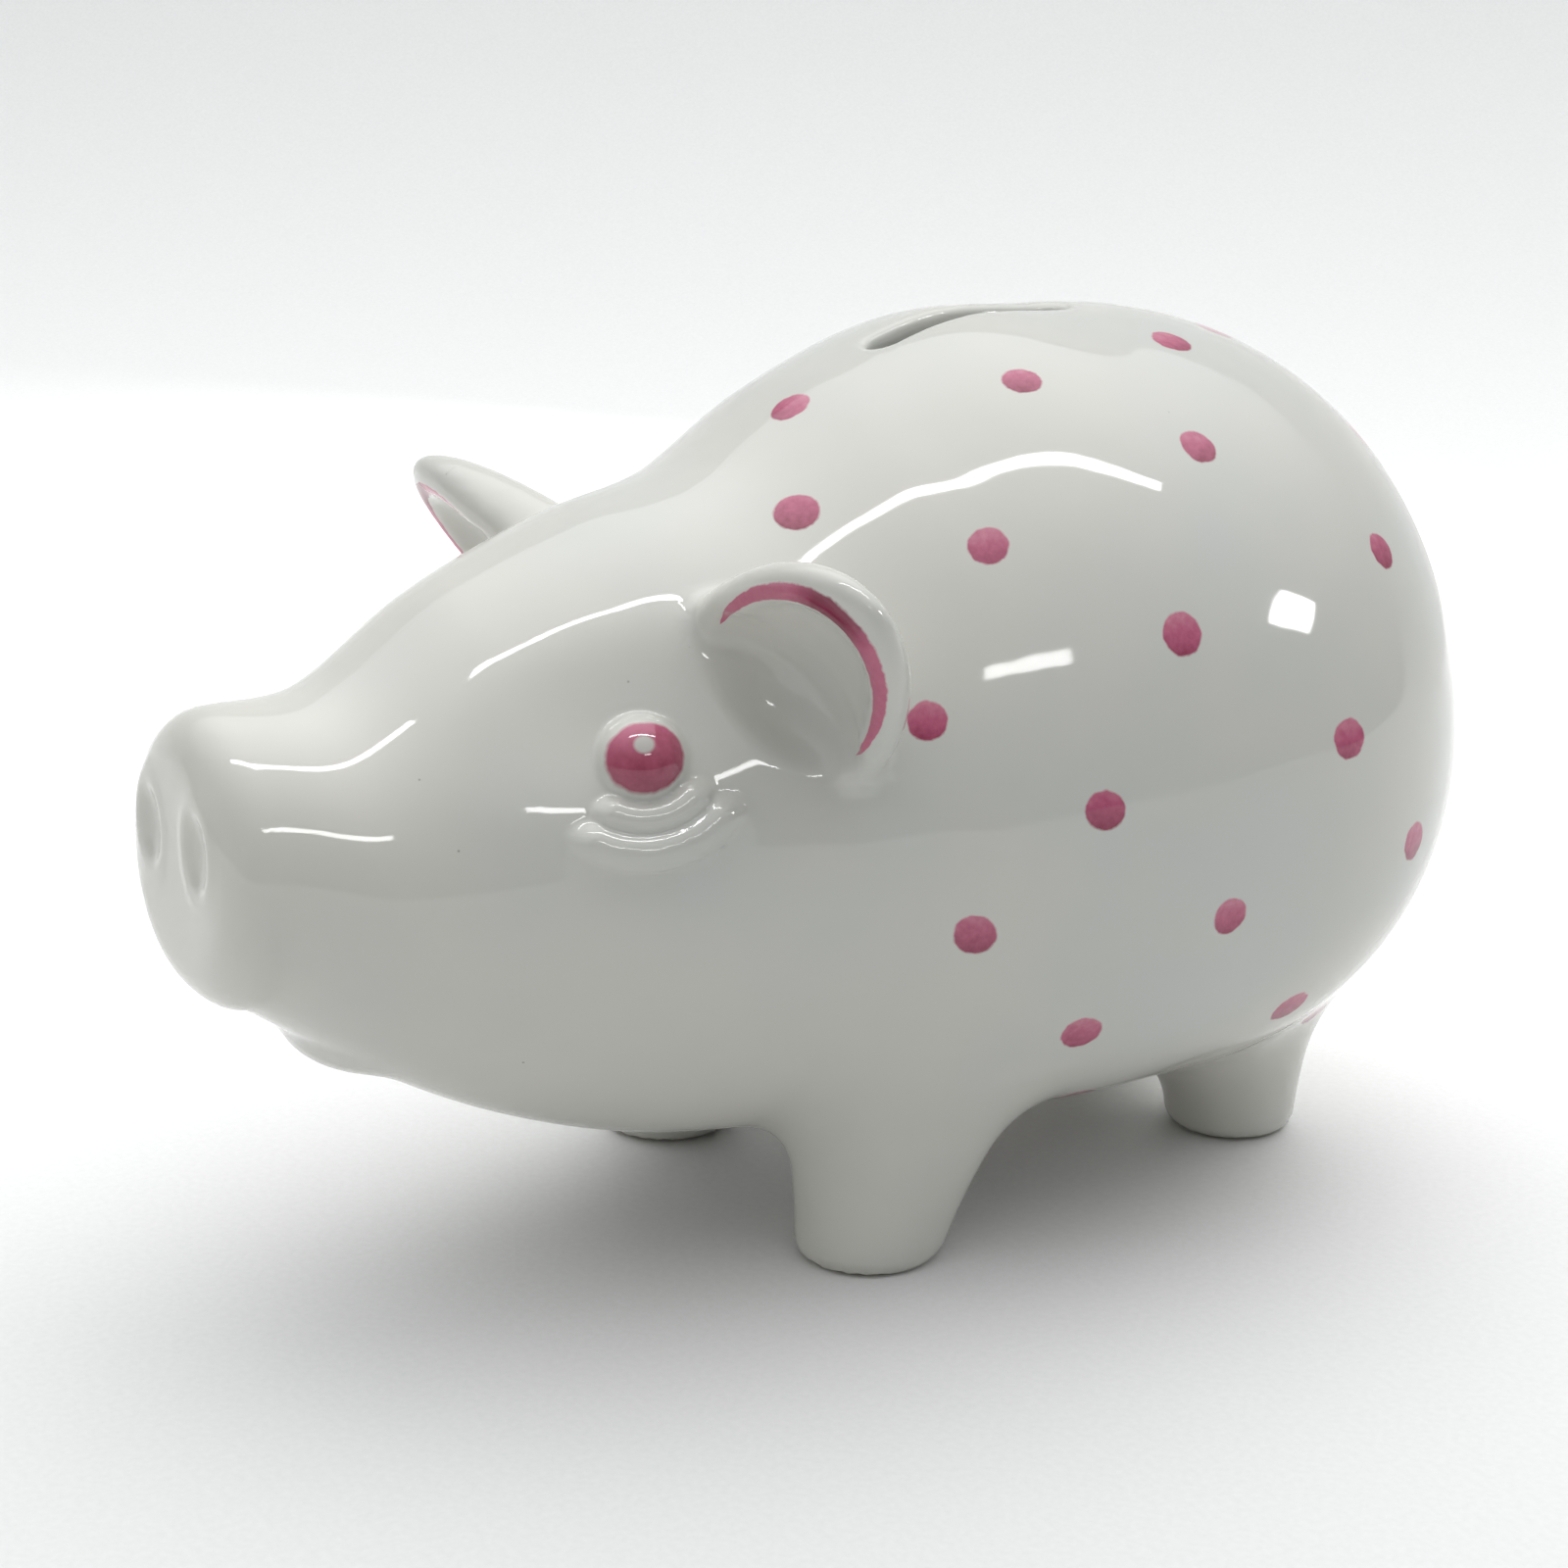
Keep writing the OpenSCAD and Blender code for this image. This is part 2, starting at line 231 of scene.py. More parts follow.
    def _dots(self, tree: bpy.types.NodeTree, glaze: bpy.types.NodeSocket,
              wobble: bpy.types.NodeSocket, streak: bpy.types.NodeSocket) -> bpy.types.NodeSocket:
        """Paint the round dabs: the dab attribute holds each dot's own flat coordinates and its tone.

        Args:
            tree: the node tree to add to.
            glaze: the colour under the paint.
            wobble: noise about as wide as a brush's bristles, for the edge.
            streak: finer noise, for the colour.

        Returns:
            The colour with the dots.
        """
        dab = add_node(tree, "ShaderNodeAttribute", {"attribute_name": "dab"}).outputs["Vector"]
        tone = add_node(tree, "ShaderNodeAttribute", {"attribute_name": "dab_tone"}).outputs["Fac"]
        parts = add_node(tree, "ShaderNodeSeparateXYZ", links={0: dab})
        reach = add_node(tree, "ShaderNodeVectorMath", {"operation": "LENGTH"}, {0: dab})
        edge = add_node(tree, "ShaderNodeMath", {"operation": "MULTIPLY_ADD", 1: 0.24},
                        {0: wobble, 2: reach.outputs["Value"]})
        mask = add_node(tree, "ShaderNodeMapRange", {"From Min": 1.06, "From Max": 1.17,
                                                     "To Min": 1.0, "To Max": 0.0},
                        {"Value": edge.outputs[0]})
        depth = add_node(tree, "ShaderNodeMath", {"operation": "MULTIPLY_ADD", 1: -0.33},
                         {0: parts.outputs[1], 2: streak})
        depth = add_node(tree, "ShaderNodeMath", {"operation": "ADD"},
                         {0: depth.outputs[0], 1: tone})
        paint = ramp(tree, depth.outputs[0], [
            (0.1, linear(self.paint_thin)), (0.46, linear(self.paint)), (1.0, linear(self.paint_dark))])
        mixed = add_node(tree, "ShaderNodeMix", {"data_type": "RGBA"},
                         {0: mask.outputs["Result"], 6: glaze, 7: paint})
        return mixed.outputs[2]

    def _ear_stroke(self, tree: bpy.types.NodeTree, under: bpy.types.NodeSocket,
                    wobble: bpy.types.NodeSocket, streak: bpy.types.NodeSocket) -> bpy.types.NodeSocket:
        """Paint the crescent stroke inside each ear from the stroke attribute.

        Args:
            tree: the node tree to add to.
            under: the colour under the stroke.
            wobble: noise for the edge.
            streak: finer noise, for the colour.

        Returns:
            The colour with the ear strokes.
        """
        stroke = add_node(tree, "ShaderNodeAttribute", {"attribute_name": "stroke"}).outputs["Vector"]
        parts = add_node(tree, "ShaderNodeSeparateXYZ", links={0: stroke})
        bow = add_node(tree, "ShaderNodeMath", {"operation": "MULTIPLY", 1: math.pi}, {0: parts.outputs[1]})
        bow = add_node(tree, "ShaderNodeMath", {"operation": "SINE"}, {0: bow.outputs[0]})
        bow = add_node(tree, "ShaderNodeMath", {"operation": "MULTIPLY_ADD", 1: self.stroke_width, 2: 0.002},
                       {0: bow.outputs[0]})
        off = add_node(tree, "ShaderNodeMath", {"operation": "ABSOLUTE"}, {0: parts.outputs[0]})
        off = add_node(tree, "ShaderNodeMath", {"operation": "DIVIDE"},
                       {0: off.outputs[0], 1: bow.outputs[0]})
        cover = add_node(tree, "ShaderNodeMath", {"operation": "SUBTRACT"},
                         {0: parts.outputs[2], 1: off.outputs[0]})
        cover = add_node(tree, "ShaderNodeMath", {"operation": "MULTIPLY_ADD", 1: 0.5},
                         {0: wobble, 2: cover.outputs[0]})
        mask = add_node(tree, "ShaderNodeMapRange", {"From Min": 0.22, "From Max": 0.42},
                        {"Value": cover.outputs[0]})
        near = add_node(tree, "ShaderNodeMath", {"operation": "SUBTRACT", 1: 0.5}, {0: parts.outputs[1]})
        near = add_node(tree, "ShaderNodeMath", {"operation": "ABSOLUTE"}, {0: near.outputs[0]})
        blob = add_node(tree, "ShaderNodeMapRange", {
            "interpolation_type": "SMOOTHSTEP", "From Min": 0.02, "From Max": 0.11, "To Min": 0.75,
            "To Max": 0.18}, {"Value": near.outputs[0]})
        depth = add_node(tree, "ShaderNodeMath", {"operation": "MULTIPLY_ADD", 1: 0.45},
                         {0: streak, 2: blob.outputs[0]})
        paint = ramp(tree, depth.outputs[0], [
            (0.1, linear(self.paint_thin)), (0.5, linear(self.paint)), (0.95, linear(self.paint_dark))])
        mixed = add_node(tree, "ShaderNodeMix", {"data_type": "RGBA"},
                         {0: mask.outputs["Result"], 6: under, 7: paint})
        return mixed.outputs[2]

    def _iris(self, tree: bpy.types.NodeTree, under: bpy.types.NodeSocket,
              wobble: bpy.types.NodeSocket, streak: bpy.types.NodeSocket) -> bpy.types.NodeSocket:
        """Paint the iris and its pale spot from the iris attribute.

        Args:
            tree: the node tree to add to.
            under: the colour under the paint.
            wobble: noise for the edge.
            streak: finer noise, for the colour.

        Returns:
            The colour with both eyes.
        """
        iris = add_node(tree, "ShaderNodeAttribute", {"attribute_name": "iris"}).outputs["Vector"]
        parts = add_node(tree, "ShaderNodeSeparateXYZ", links={0: iris})
        reach = add_node(tree, "ShaderNodeVectorMath", {"operation": "LENGTH"}, {0: iris})
        edge = add_node(tree, "ShaderNodeMath", {"operation": "MULTIPLY_ADD", 1: 0.1},
                        {0: wobble, 2: reach.outputs["Value"]})
        mask = add_node(tree, "ShaderNodeMapRange", {"From Min": 1.0, "From Max": 1.1,
                                                     "To Min": 1.0, "To Max": 0.0},
                        {"Value": edge.outputs[0]})
        depth = add_node(tree, "ShaderNodeMath", {"operation": "MULTIPLY_ADD", 1: -0.3},
                         {0: parts.outputs[1], 2: streak})
        paint = ramp(tree, depth.outputs[0], [
            (0.2, linear(self.paint)), (0.5, linear(self.iris_light)), (0.85, linear(self.iris))])
        mixed = add_node(tree, "ShaderNodeMix", {"data_type": "RGBA"},
                         {0: mask.outputs["Result"], 6: under, 7: paint})
        off = add_node(tree, "ShaderNodeVectorMath", {"operation": "SUBTRACT", 1: (-0.02, 0.34, 0.0)},
                       {0: iris})
        reach = add_node(tree, "ShaderNodeVectorMath", {"operation": "LENGTH"}, {0: off.outputs[0]})
        glint = add_node(tree, "ShaderNodeMapRange", {"From Min": 0.21, "From Max": 0.3,
                                                      "To Min": 1.0, "To Max": 0.0},
                         {"Value": reach.outputs["Value"]})
        mixed = add_node(tree, "ShaderNodeMix", {"data_type": "RGBA", 7: linear(self.spot)},
                         {0: glint.outputs["Result"], 6: mixed.outputs[2]})
        return mixed.outputs[2]

    def _relief(self, tree: bpy.types.NodeTree, place: bpy.types.NodeSocket,
                bare: bpy.types.NodeSocket, grit: bpy.types.NodeSocket) -> bpy.types.NodeSocket:
        """Bump: the slow wave of a dipped glaze, and grit where the clay is bare.

        Args:
            tree: the node tree to add to.
            place: object coordinates.
            bare: 1 where there is no glaze.
            grit: fine noise for the bare clay.

        Returns:
            The bumped normal.
        """
        wave = add_node(tree, "ShaderNodeTexNoise", {"Scale": 1000.0 / self.peel_mm, "Detail": 1.5},
                        {"Vector": place})
        slow = add_node(tree, "ShaderNodeBump", {"Strength": 1.0, "Distance": 0.00016},
                        {"Height": wave.outputs["Fac"]})
        rough = add_node(tree, "ShaderNodeMath", {"operation": "MULTIPLY"}, {0: bare, 1: grit})
        fine = add_node(tree, "ShaderNodeBump", {"Strength": 1.0, "Distance": 0.0002},
                        {"Height": rough.outputs[0], "Normal": slow.outputs[0]})
        return fine.outputs[0]


class Grain(Enum):
    """How a sheet of metal was worked, which sets the run of its fine scratches."""

    TURNED = "turned"
    DRAWN = "drawn"


@dataclass(frozen=True)
class PlatedMetal:
    """Nickel, zinc or brass surface with fine working marks and handling haze."""

    name: str
    colour: str
    dull: str
    roughness: float
    grain: Grain
    centre: tuple[float, float, float] = (0.0, 0.0, 0.0)
    mark_mm: float = 0.35

    def make(self) -> bpy.types.Material:
        """Build the metal, with marks in rings about the centre or in straight lines."""
        made, tree, shader = new_material(self.name)
        place = add_node(tree, "ShaderNodeTexCoord").outputs["Object"]
        centred = add_node(tree, "ShaderNodeVectorMath", {"operation": "SUBTRACT", 1: self.centre},
                           {0: place})
        if self.grain is Grain.TURNED:
            marks = add_node(tree, "ShaderNodeTexWave", {
                "wave_type": "RINGS", "rings_direction": "Z", "Scale": 0.05 / (self.mark_mm * MM),
                "Distortion": 1.5, "Detail": 2.0}, {"Vector": centred.outputs[0]})
        else:
            marks = add_node(tree, "ShaderNodeTexWave", {
                "wave_type": "BANDS", "bands_direction": "X", "Scale": 0.05 / (self.mark_mm * MM),
                "Distortion": 4.0, "Detail": 3.0}, {"Vector": centred.outputs[0]})
        haze = add_node(tree, "ShaderNodeTexNoise", {"Scale": 160.0, "Detail": 5.0}, {"Vector": place})
        colour = ramp(tree, haze.outputs["Fac"], [(0.32, linear(self.dull)), (0.6, linear(self.colour))])
        tree.links.new(colour, shader.inputs["Base Color"])
        shine = add_node(tree, "ShaderNodeMapRange", {
            "From Min": 0.3, "From Max": 0.7, "To Min": self.roughness * 0.75,
            "To Max": self.roughness * 1.5}, {"Value": haze.outputs["Fac"]})
        tree.links.new(shine.outputs["Result"], shader.inputs["Roughness"])
        shader.inputs["Metallic"].default_value = 1.0
        bump = add_node(tree, "ShaderNodeBump", {"Strength": 0.25, "Distance": 0.00005},
                        {"Height": marks.outputs["Fac"]})
        tree.links.new(bump.outputs[0], shader.inputs["Normal"])
        return made


@dataclass(frozen=True)
class SealRubber:
    """Black moulded nitrile rubber: matt, with fine mould texture and a dusting of bloom."""

    colour: str = "1B1B1C"
    bloom: str = "3A3A3B"
    roughness: float = 0.8

    def make(self) -> bpy.types.Material:
        """Build the rubber."""
        made, tree, shader = new_material("nitrile_seal_rubber")
        place = add_node(tree, "ShaderNodeTexCoord").outputs["Object"]
        bloom = add_node(tree, "ShaderNodeTexNoise", {"Scale": 300.0, "Detail": 6.0}, {"Vector": place})
        colour = ramp(tree, bloom.outputs["Fac"], [(0.45, linear(self.colour)), (0.8, linear(self.bloom))])
        tree.links.new(colour, shader.inputs["Base Color"])
        shader.inputs["Roughness"].default_value = self.roughness
        bump = add_node(tree, "ShaderNodeBump", {"Strength": 0.4, "Distance": 0.0001},
                        {"Height": bloom.outputs["Fac"]})
        tree.links.new(bump.outputs[0], shader.inputs["Normal"])
        return made


# ---------------------------------------------------------------- shape helpers


def smooth_min(a: np.ndarray, b: np.ndarray, k: float) -> np.ndarray:
    """Join two solids with a fillet.

    Args:
        a: distances to the first solid.
        b: distances to the second solid.
        k: how far the fillet reaches, in millimetres.

    Returns:
        Distances to the joined solid.
    """
    near = np.maximum(k - np.abs(a - b), 0.0) / k
    return np.minimum(a, b) - near * near * k * 0.25


def smooth_max(a: np.ndarray, b: np.ndarray, k: float) -> np.ndarray:
    """Keep what two solids share, with a rounded edge of about k millimetres."""
    return -smooth_min(-a, -b, k)


def gradient(level: Level, p: Points, step: float = 0.02) -> np.ndarray:
    """Slope of a level function by central differences.

    Args:
        level: the function.
        p: places, in millimetres.
        step: half the distance between the two samples.

    Returns:
        One slope vector for each place.
    """
    out = np.empty_like(p)
    for axis in range(3):
        shift = np.zeros(3)
        shift[axis] = step
        out[:, axis] = (level(p + shift) - level(p - shift)) / (2 * step)
    return out


def steepness(level: Level, p: Points) -> np.ndarray:
    """How much the level changes per millimetre at each place."""
    return np.maximum(np.linalg.norm(gradient(level, p), axis=1), 1e-6)


def settle(freeze: Callable[[Points], Level], p: Points, rounds: int = 5, most: float = 1.2) -> Points:
    """Move points along the slope until they lie on the surface where the level is zero.

    Args:
        freeze: makes the distance function to use near the given points.
        p: places near the surface, in millimetres.
        rounds: how many moves to make.
        most: the longest single move, in millimetres.

    Returns:
        The moved points.
    """
    for _ in range(rounds):
        level = freeze(p)
        slope = gradient(level, p)
        size = np.maximum((slope * slope).sum(1), 1e-6)
        move = (level(p) / size)[:, None] * slope
        length = np.maximum(np.linalg.norm(move, axis=1), 1e-9)
        p = p - move * np.minimum(1.0, most / length)[:, None]
    return p


def mirrored(p: Points) -> Points:
    """Fold places on the pig's right side over to its left."""
    return np.column_stack([np.abs(p[:, 0]), p[:, 1], p[:, 2]])


def smooth_step(low: float, high: float, v: np.ndarray) -> np.ndarray:
    """Ease from 0 at low to 1 at high."""
    t = np.clip((v - low) / (high - low), 0.0, 1.0)
    return t * t * (3 - 2 * t)


@dataclass(frozen=True)
class BodyForm:
    """The pig's body as sections along its length, in millimetres; the snout faces -Y."""

    half_length: float = 99.9
    places: tuple[float, ...] = (-93, -78, -60, -40, -20, 0, 20, 40)
    top: tuple[float, ...] = (85, 86, 97, 105, 110, 121, 127.9, 127.8)
    bottom: tuple[float, ...] = (45, 34.5, 24.5, 17.5, 15, 13, 12, 12)
    half_width: tuple[float, ...] = (20, 26, 33, 39, 46, 55, 60.5, 62)
    middle: tuple[float, ...] = (64, 60, 59, 60, 60, 60, 61, 63)
    snout_flat: float = 0.6
    snout_end: float = 99.7
    rump_power: float = 2.2
    belly_power: float = 2.2
    rump_middle: float = 68.0
    wall: float = 5.0

    def along(self, values: Sequence[float], y: np.ndarray) -> np.ndarray:
        """Read a smooth curve through the section values.

        Args:
            values: one value for each section.
            y: places along the body, within the sections.

        Returns:
            The value at each place.
        """
        at, v = np.array(self.places, float), np.array(values, float)
        slope = np.zeros_like(v)
        slope[0] = (v[1] - v[0]) / (at[1] - at[0])
        slope[1:-1] = (v[2:] - v[:-2]) / (at[2:] - at[:-2])
        i = np.clip(np.searchsorted(at, y, side="right") - 1, 0, len(at) - 2)
        h = at[i + 1] - at[i]
        t = (y - at[i]) / h
        return ((2 * t**3 - 3 * t**2 + 1) * v[i] + (t**3 - 2 * t**2 + t) * h * slope[i]
                + (3 * t**2 - 2 * t**3) * v[i + 1] + (t**3 - t**2) * h * slope[i + 1])

    def level(self, p: Points, inset: float = 0.0) -> np.ndarray:
        """Level function of the body: below 0 inside, 0 on the skin.

        Args:
            p: places, in millimetres.
            inset: how far the skin is drawn in, for the hollow.

        Returns:
            One level for each place.
        """
        x, y, z = p.T
        first, end = self.places[0], self.places[-1]
        c = np.clip(y, first, end)
        middle = self.along(self.middle, c)
        half = self.along(self.half_width, c) - inset
        rise = self.along(self.top, c) - middle - inset
        drop = middle - self.along(self.bottom, c) - inset
        back = np.clip((y - end) / (self.half_length - inset - end), 0, 1.5)
        front = np.clip((first - y) / (self.snout_end - inset + first), 0, None)
        dz = z - middle - (self.rump_middle - middle) * back**2
        power = np.where(dz > 0, 2.0, self.belly_power)
        out = (np.abs(x / half)**power + np.abs(dz / np.where(dz > 0, rise, drop))**power)**(1 / power)
        rump = np.sqrt(out**2 + back**self.rump_power) - 1
        lip = 1 - self.snout_flat
        snout = lip * (np.sqrt((np.maximum(out - self.snout_flat, 0) / lip)**2 + front**2) - 1)
        return np.where(y > end, rump, np.where(y < first, snout, out - 1))

    def freeze(self, p: Points, inset: float = 0.0) -> Level:
        """Distance function that is true near the given points: the level over its steepness there."""
        scale = 1 / steepness(lambda q: self.level(q, inset), p)
        return lambda q: self.level(q, inset) * scale

    def surface_point(self, near: Sequence[float]) -> tuple[np.ndarray, np.ndarray]:
        """Nearest skin point and outward direction.

        Args:
            near: a place near the skin.

        Returns:
            The point on the skin, and the unit vector out of it.
        """
        p = settle(self.freeze, np.array([near], float), rounds=8)
        n = gradient(self.level, p)[0]
        return p[0], n / np.linalg.norm(n)


@dataclass(frozen=True)
class EarForm:
    """A thick half-oval leaf with a cup scooped out of its front; the left ear, in millimetres."""

    front: tuple[float, float, float] = (24.5, -36.6, 95.4)
    back: tuple[float, float, float] = (42.2, -21.4, 73.2)
    tip: tuple[float, float, float] = (54.5, -35.6, 104.4)
    width: float = 33.0
    reach: float = 32.5
    root: float = 3.5
    thick: float = 4.6
    back_bulk: float = 1.5
    set_back: float = 2.2
    cup_middle: float = 8.0
    cup_size: tuple[float, float, float] = (12.0, 20.0, 7.4)
    cup_out: float = 3.0
    cup_edge: float = 2.4
    pit_size: tuple[float, float, float] = (13.0, 6.4, 6.0)
    pit_middle: float = 6.0
    pit_out: float = 1.8

    def axes(self) -> tuple[np.ndarray, np.ndarray, np.ndarray]:
        """Unit vectors along the root, out to the tip, and out of the cup."""
        a, b, c = (np.array(v, float) for v in (self.front, self.back, self.tip))
        along = (b - a) / np.linalg.norm(b - a)
        face = np.cross(b - a, c - a)
        face /= np.linalg.norm(face)
        return along, np.cross(face, along), face

    def local(self, p: Points) -> tuple[np.ndarray, np.ndarray, np.ndarray]:
        """Place in the ear's own axes: along the root from its middle, out, and through the leaf."""
        along, out, face = self.axes()
        q = p - np.array(self.front, float)
        span = np.linalg.norm(np.array(self.back, float) - np.array(self.front, float))
        return q @ along - span / 2, q @ out, q @ face

    def level(self, p: Points) -> np.ndarray:
        """Level function of the leaf before it is scooped: below 0 inside."""
        s, h, n = self.local(p)
        share = np.hypot(s / (self.width / 2), np.maximum(h + self.root, 0) / (self.reach + self.root))
        bulk = self.back_bulk * (1 - np.clip(h / self.reach, 0, 1))
        half = self.thick + np.where(n < -self.set_back, bulk, 0)
        return np.sqrt(((n + self.set_back) / half)**2 + np.minimum(share, 2)**5) - 1

    def cup(self, p: Points) -> np.ndarray:
        """Share of the way from the middle of the cup to its edge, flat in the plane of the ear."""
        s, h, _ = self.local(p)
        return np.hypot(s / self.cup_size[0], (h - self.cup_middle) / self.cup_size[1])

    def pit(self, p: Points) -> np.ndarray:
        """Distance from the foot of the cup, which is pressed into the head."""
        s, h, n = self.local(p)
        wide, tall, deep = self.pit_size
        return (np.sqrt((s / wide)**2 + ((h - self.pit_middle) / tall)**2
                        + ((n - self.pit_out) / deep)**2) - 1) * deep

    def freeze(self, p: Points) -> Level:
        """Distance function of the ear near the given points, closed off just under its root."""
        scale = 1 / steepness(self.level, p)

        def distance(q: Points) -> np.ndarray:
            """Distance from the scooped leaf."""
            _, h, n = self.local(q)
            leaf = smooth_max(self.level(q) * scale, -(h + self.root + 3), 2.0)
            scoop = np.hypot(self.cup(q), (n - self.cup_out) / self.cup_size[2]) - 1
            return smooth_max(leaf, -scoop * self.cup_size[2], self.cup_edge)

        return distance


@dataclass(frozen=True)
class LegForm:
    """A round tapered leg, in millimetres."""

    x: float
    y: float
    foot_r: float = 10.0
    swell: float = 6.5
    top: float = 24.0
    lean_x: float = 0.0
    lean_y: float = 0.0

    def distance(self, p: Points) -> np.ndarray:
        """Distance from the leg, flat at the table and rounded at the foot's edge."""
        z = p[:, 2]
        t = np.clip(z / 24.0, 0, 1.25)
        radius = self.foot_r + self.swell * t**1.5
        out = np.hypot(p[:, 0] - self.x - self.lean_x * t, p[:, 1] - self.y - self.lean_y * t)
        side = smooth_max((out - radius) * 0.95, -z, 3.0)
        return smooth_max(side, z - self.top, 2.0)


@dataclass(frozen=True)
class EyeForm:
    """A painted dome in a shallow socket, over two soft folds, in millimetres."""

    near: tuple[float, float, float] = (32.5, -48.0, 79.5)
    dome_r: float = 6.3
    dome_rise: float = 3.0
    hollow: tuple[float, float, float] = (30.0, 18.0, 12.0)
    hollow_ahead: float = 1.0
    hollow_up: float = 9.5
    hollow_out: float = 10.5
    folds: tuple[tuple[float, float, float], ...] = ((7.7, 2.1, 0.6), (12.0, 2.6, 1.3))
    iris_w: float = 5.15
    iris_h: float = 4.6

    def axes(self, body: BodyForm) -> tuple[np.ndarray, np.ndarray, np.ndarray, np.ndarray]:
        """Middle of the eye on the skin, then its outward, upward and rearward directions."""
        middle, out = body.surface_point(self.near)
        rear = np.array([0.0, 1.0, 0.0])
        rear = rear - out * (rear @ out)
        rear /= np.linalg.norm(rear)
        up = np.cross(out, rear)
        return middle, out, up if up[2] > 0 else -up, rear


@dataclass(frozen=True)
class SnoutForm:
    """Two shallow nostrils with soft raised rims on the snout face, in millimetres."""

    nostril_x: float = 7.8
    nostril_z: float = 68.5
    half_w: float = 2.6
    half_h: float = 3.9
    depth: float = 1.3
    rim: float = 1.5


@dataclass(frozen=True)
class ChinForm:
    """The lower lip: a soft bulge under the snout, parted from it by a crease, in millimetres."""

    middle: tuple[float, float, float] = (0.0, -71.5, 40.3)
    size: tuple[float, float, float] = (14.5, 14.0, 8.6)
    blend: float = 1.3


# ---------------------------------------------------------------- the casting


@dataclass
class PorcelainCasting:
    """The whole fired casting: body, head, ears, legs and tail under one glaze."""

    body: BodyForm = field(default_factory=BodyForm)
    ear: EarForm = field(default_factory=EarForm)
    far_ear: EarForm = field(default_factory=lambda: EarForm(
        front=(24, -37, 95.5), back=(42, -21, 74.5), tip=(51, -39, 101.5), width=35.0, reach=30.0,
        back_bulk=5.0, cup_middle=5.0))
    eye: EyeForm = field(default_factory=EyeForm)
    snout: SnoutForm = field(default_factory=SnoutForm)
    chin: ChinForm = field(default_factory=ChinForm)
    front_leg: LegForm = field(default_factory=lambda: LegForm(
        28.5, -10.0, foot_r=10.7, swell=8.0, top=34.0, lean_x=-4.0, lean_y=8.5))
    hind_leg: LegForm = field(default_factory=lambda: LegForm(
        18.0, 65.5, swell=4.5, top=26.0, lean_x=0.5, lean_y=-1.0))
    slot_len: float = 34.0
    slot_w: float = 5.0
    slot_y: float = 25.0
    trap_y: float = 25.0
    seat_z: float = 15.0
    seat_top: float = 21.0
    seat_r: float = 24.0
    hole_r: float = 19.5
    tail_r: float = 5.0
    tail_d: float = 4.4
    tail_z: float = 94.2
    tail_tilt: float = 21.0
    dot_r: float = 3.0
    grid_mm: float = 1.6
    dots: tuple[tuple[float, float, float], ...] = (
        (2.4, -7, 117), (24, 17, 122), (19, 47, 124), (39, 36, 113), (20, -17, 106), (39, 1, 103),
        (48, 62, 97), (55, 22, 92), (44, -12, 82), (60, 47, 75), (57, 8, 70), (57, 63, 57), (50, -8, 54),
        (61, 27, 53), (52, 46, 34), (52, 9, 37), (37, 20, 20), (33, 84, 84), (30, 86, 48), (10, 62, 122),
        (26, 76, 108), (40, 78, 72), (34, 62, 30), (8, 88, 104), (12, 98, 66), (8, 84, 30))

    # ------------------------------------------------------------ level functions

    def _tail_axes(self) -> tuple[np.ndarray, np.ndarray, np.ndarray]:
        """Middle of the curl, its outward direction and its upward direction."""
        tilt = math.radians(self.tail_tilt)
        middle = np.array([0.0, self.body.half_length - 4.3, self.tail_z])
        out = np.array([0, math.cos(tilt), math.sin(tilt)])
        return middle, out, np.array([0, -math.sin(tilt), math.cos(tilt)])

    def _tail(self, p: Points) -> np.ndarray:
        """Distance from the flat curl: most of a ring, thinner at its free end."""
        middle, out, up = self._tail_axes()
        q = p - middle
        a, b, c = q[:, 0], q @ up, q @ out
        turn = np.arctan2(b, a)
        share = np.clip((turn + math.pi) / (2 * math.pi), 0, 1)
        tube = self.tail_d / 2 * (0.72 + 0.28 * share)
        radius = self.tail_r * (0.86 + 0.16 * share)
        return np.hypot(np.hypot(a, b) - radius, c) - tube

    def _eyes(self, p: Points, skin: np.ndarray) -> np.ndarray:
        """Add both eyes to the head.

        Args:
            p: places on the pig's left side, in millimetres.
            skin: distances to the head so far.

        Returns:
            Distances with the socket, the folds and the dome.
        """
        e = self.eye
        middle, out, up, rear = e.axes(self.body)
        q = p - middle
        a, b, c = q @ rear, q @ up, q @ out
        wide, tall, deep = e.hollow
        dish = np.sqrt(((a + e.hollow_ahead) / wide)**2 + ((b - e.hollow_up) / tall)**2
                       + ((c - e.hollow_out) / deep)**2) - 1
        skin = smooth_max(skin, -dish * deep, 5.0)
        low = smooth_step(-0.25, -0.75, np.sin(np.arctan2(b, a)))
        for radius, tube, sunk in e.folds:
            ring = np.hypot(np.hypot(a * 0.9, b) - radius, c + sunk + (tube + 1) * (1 - low))
            skin = smooth_min(skin, ring - tube * (0.3 + 0.7 * low), 1.0)
        ball = np.linalg.norm(p - middle + out * (e.dome_r - e.dome_rise), axis=1) - e.dome_r
        return smooth_min(skin, ball, 0.7)

    def _nostrils(self, p: Points, skin: np.ndarray) -> np.ndarray:
        """Press both nostrils into the snout face and raise their rims."""
        s = self.snout
        a = (p[:, 0] - s.nostril_x) / s.half_w
        b = (p[:, 2] - s.nostril_z) / s.half_h
        face = -self.body.half_length
        flat = np.hypot(a, b)
        size = (s.half_w + s.half_h) / 2
        rim = np.hypot((flat - 1.55) * size, p[:, 1] - face - s.rim - 0.25) - s.rim
        skin = smooth_min(skin, rim, 1.6)
        dip = np.sqrt(flat**2 + ((p[:, 1] - face + 0.6) / (s.depth + 0.6))**2) - 1
        return smooth_max(skin, -dip * s.depth, 1.6)

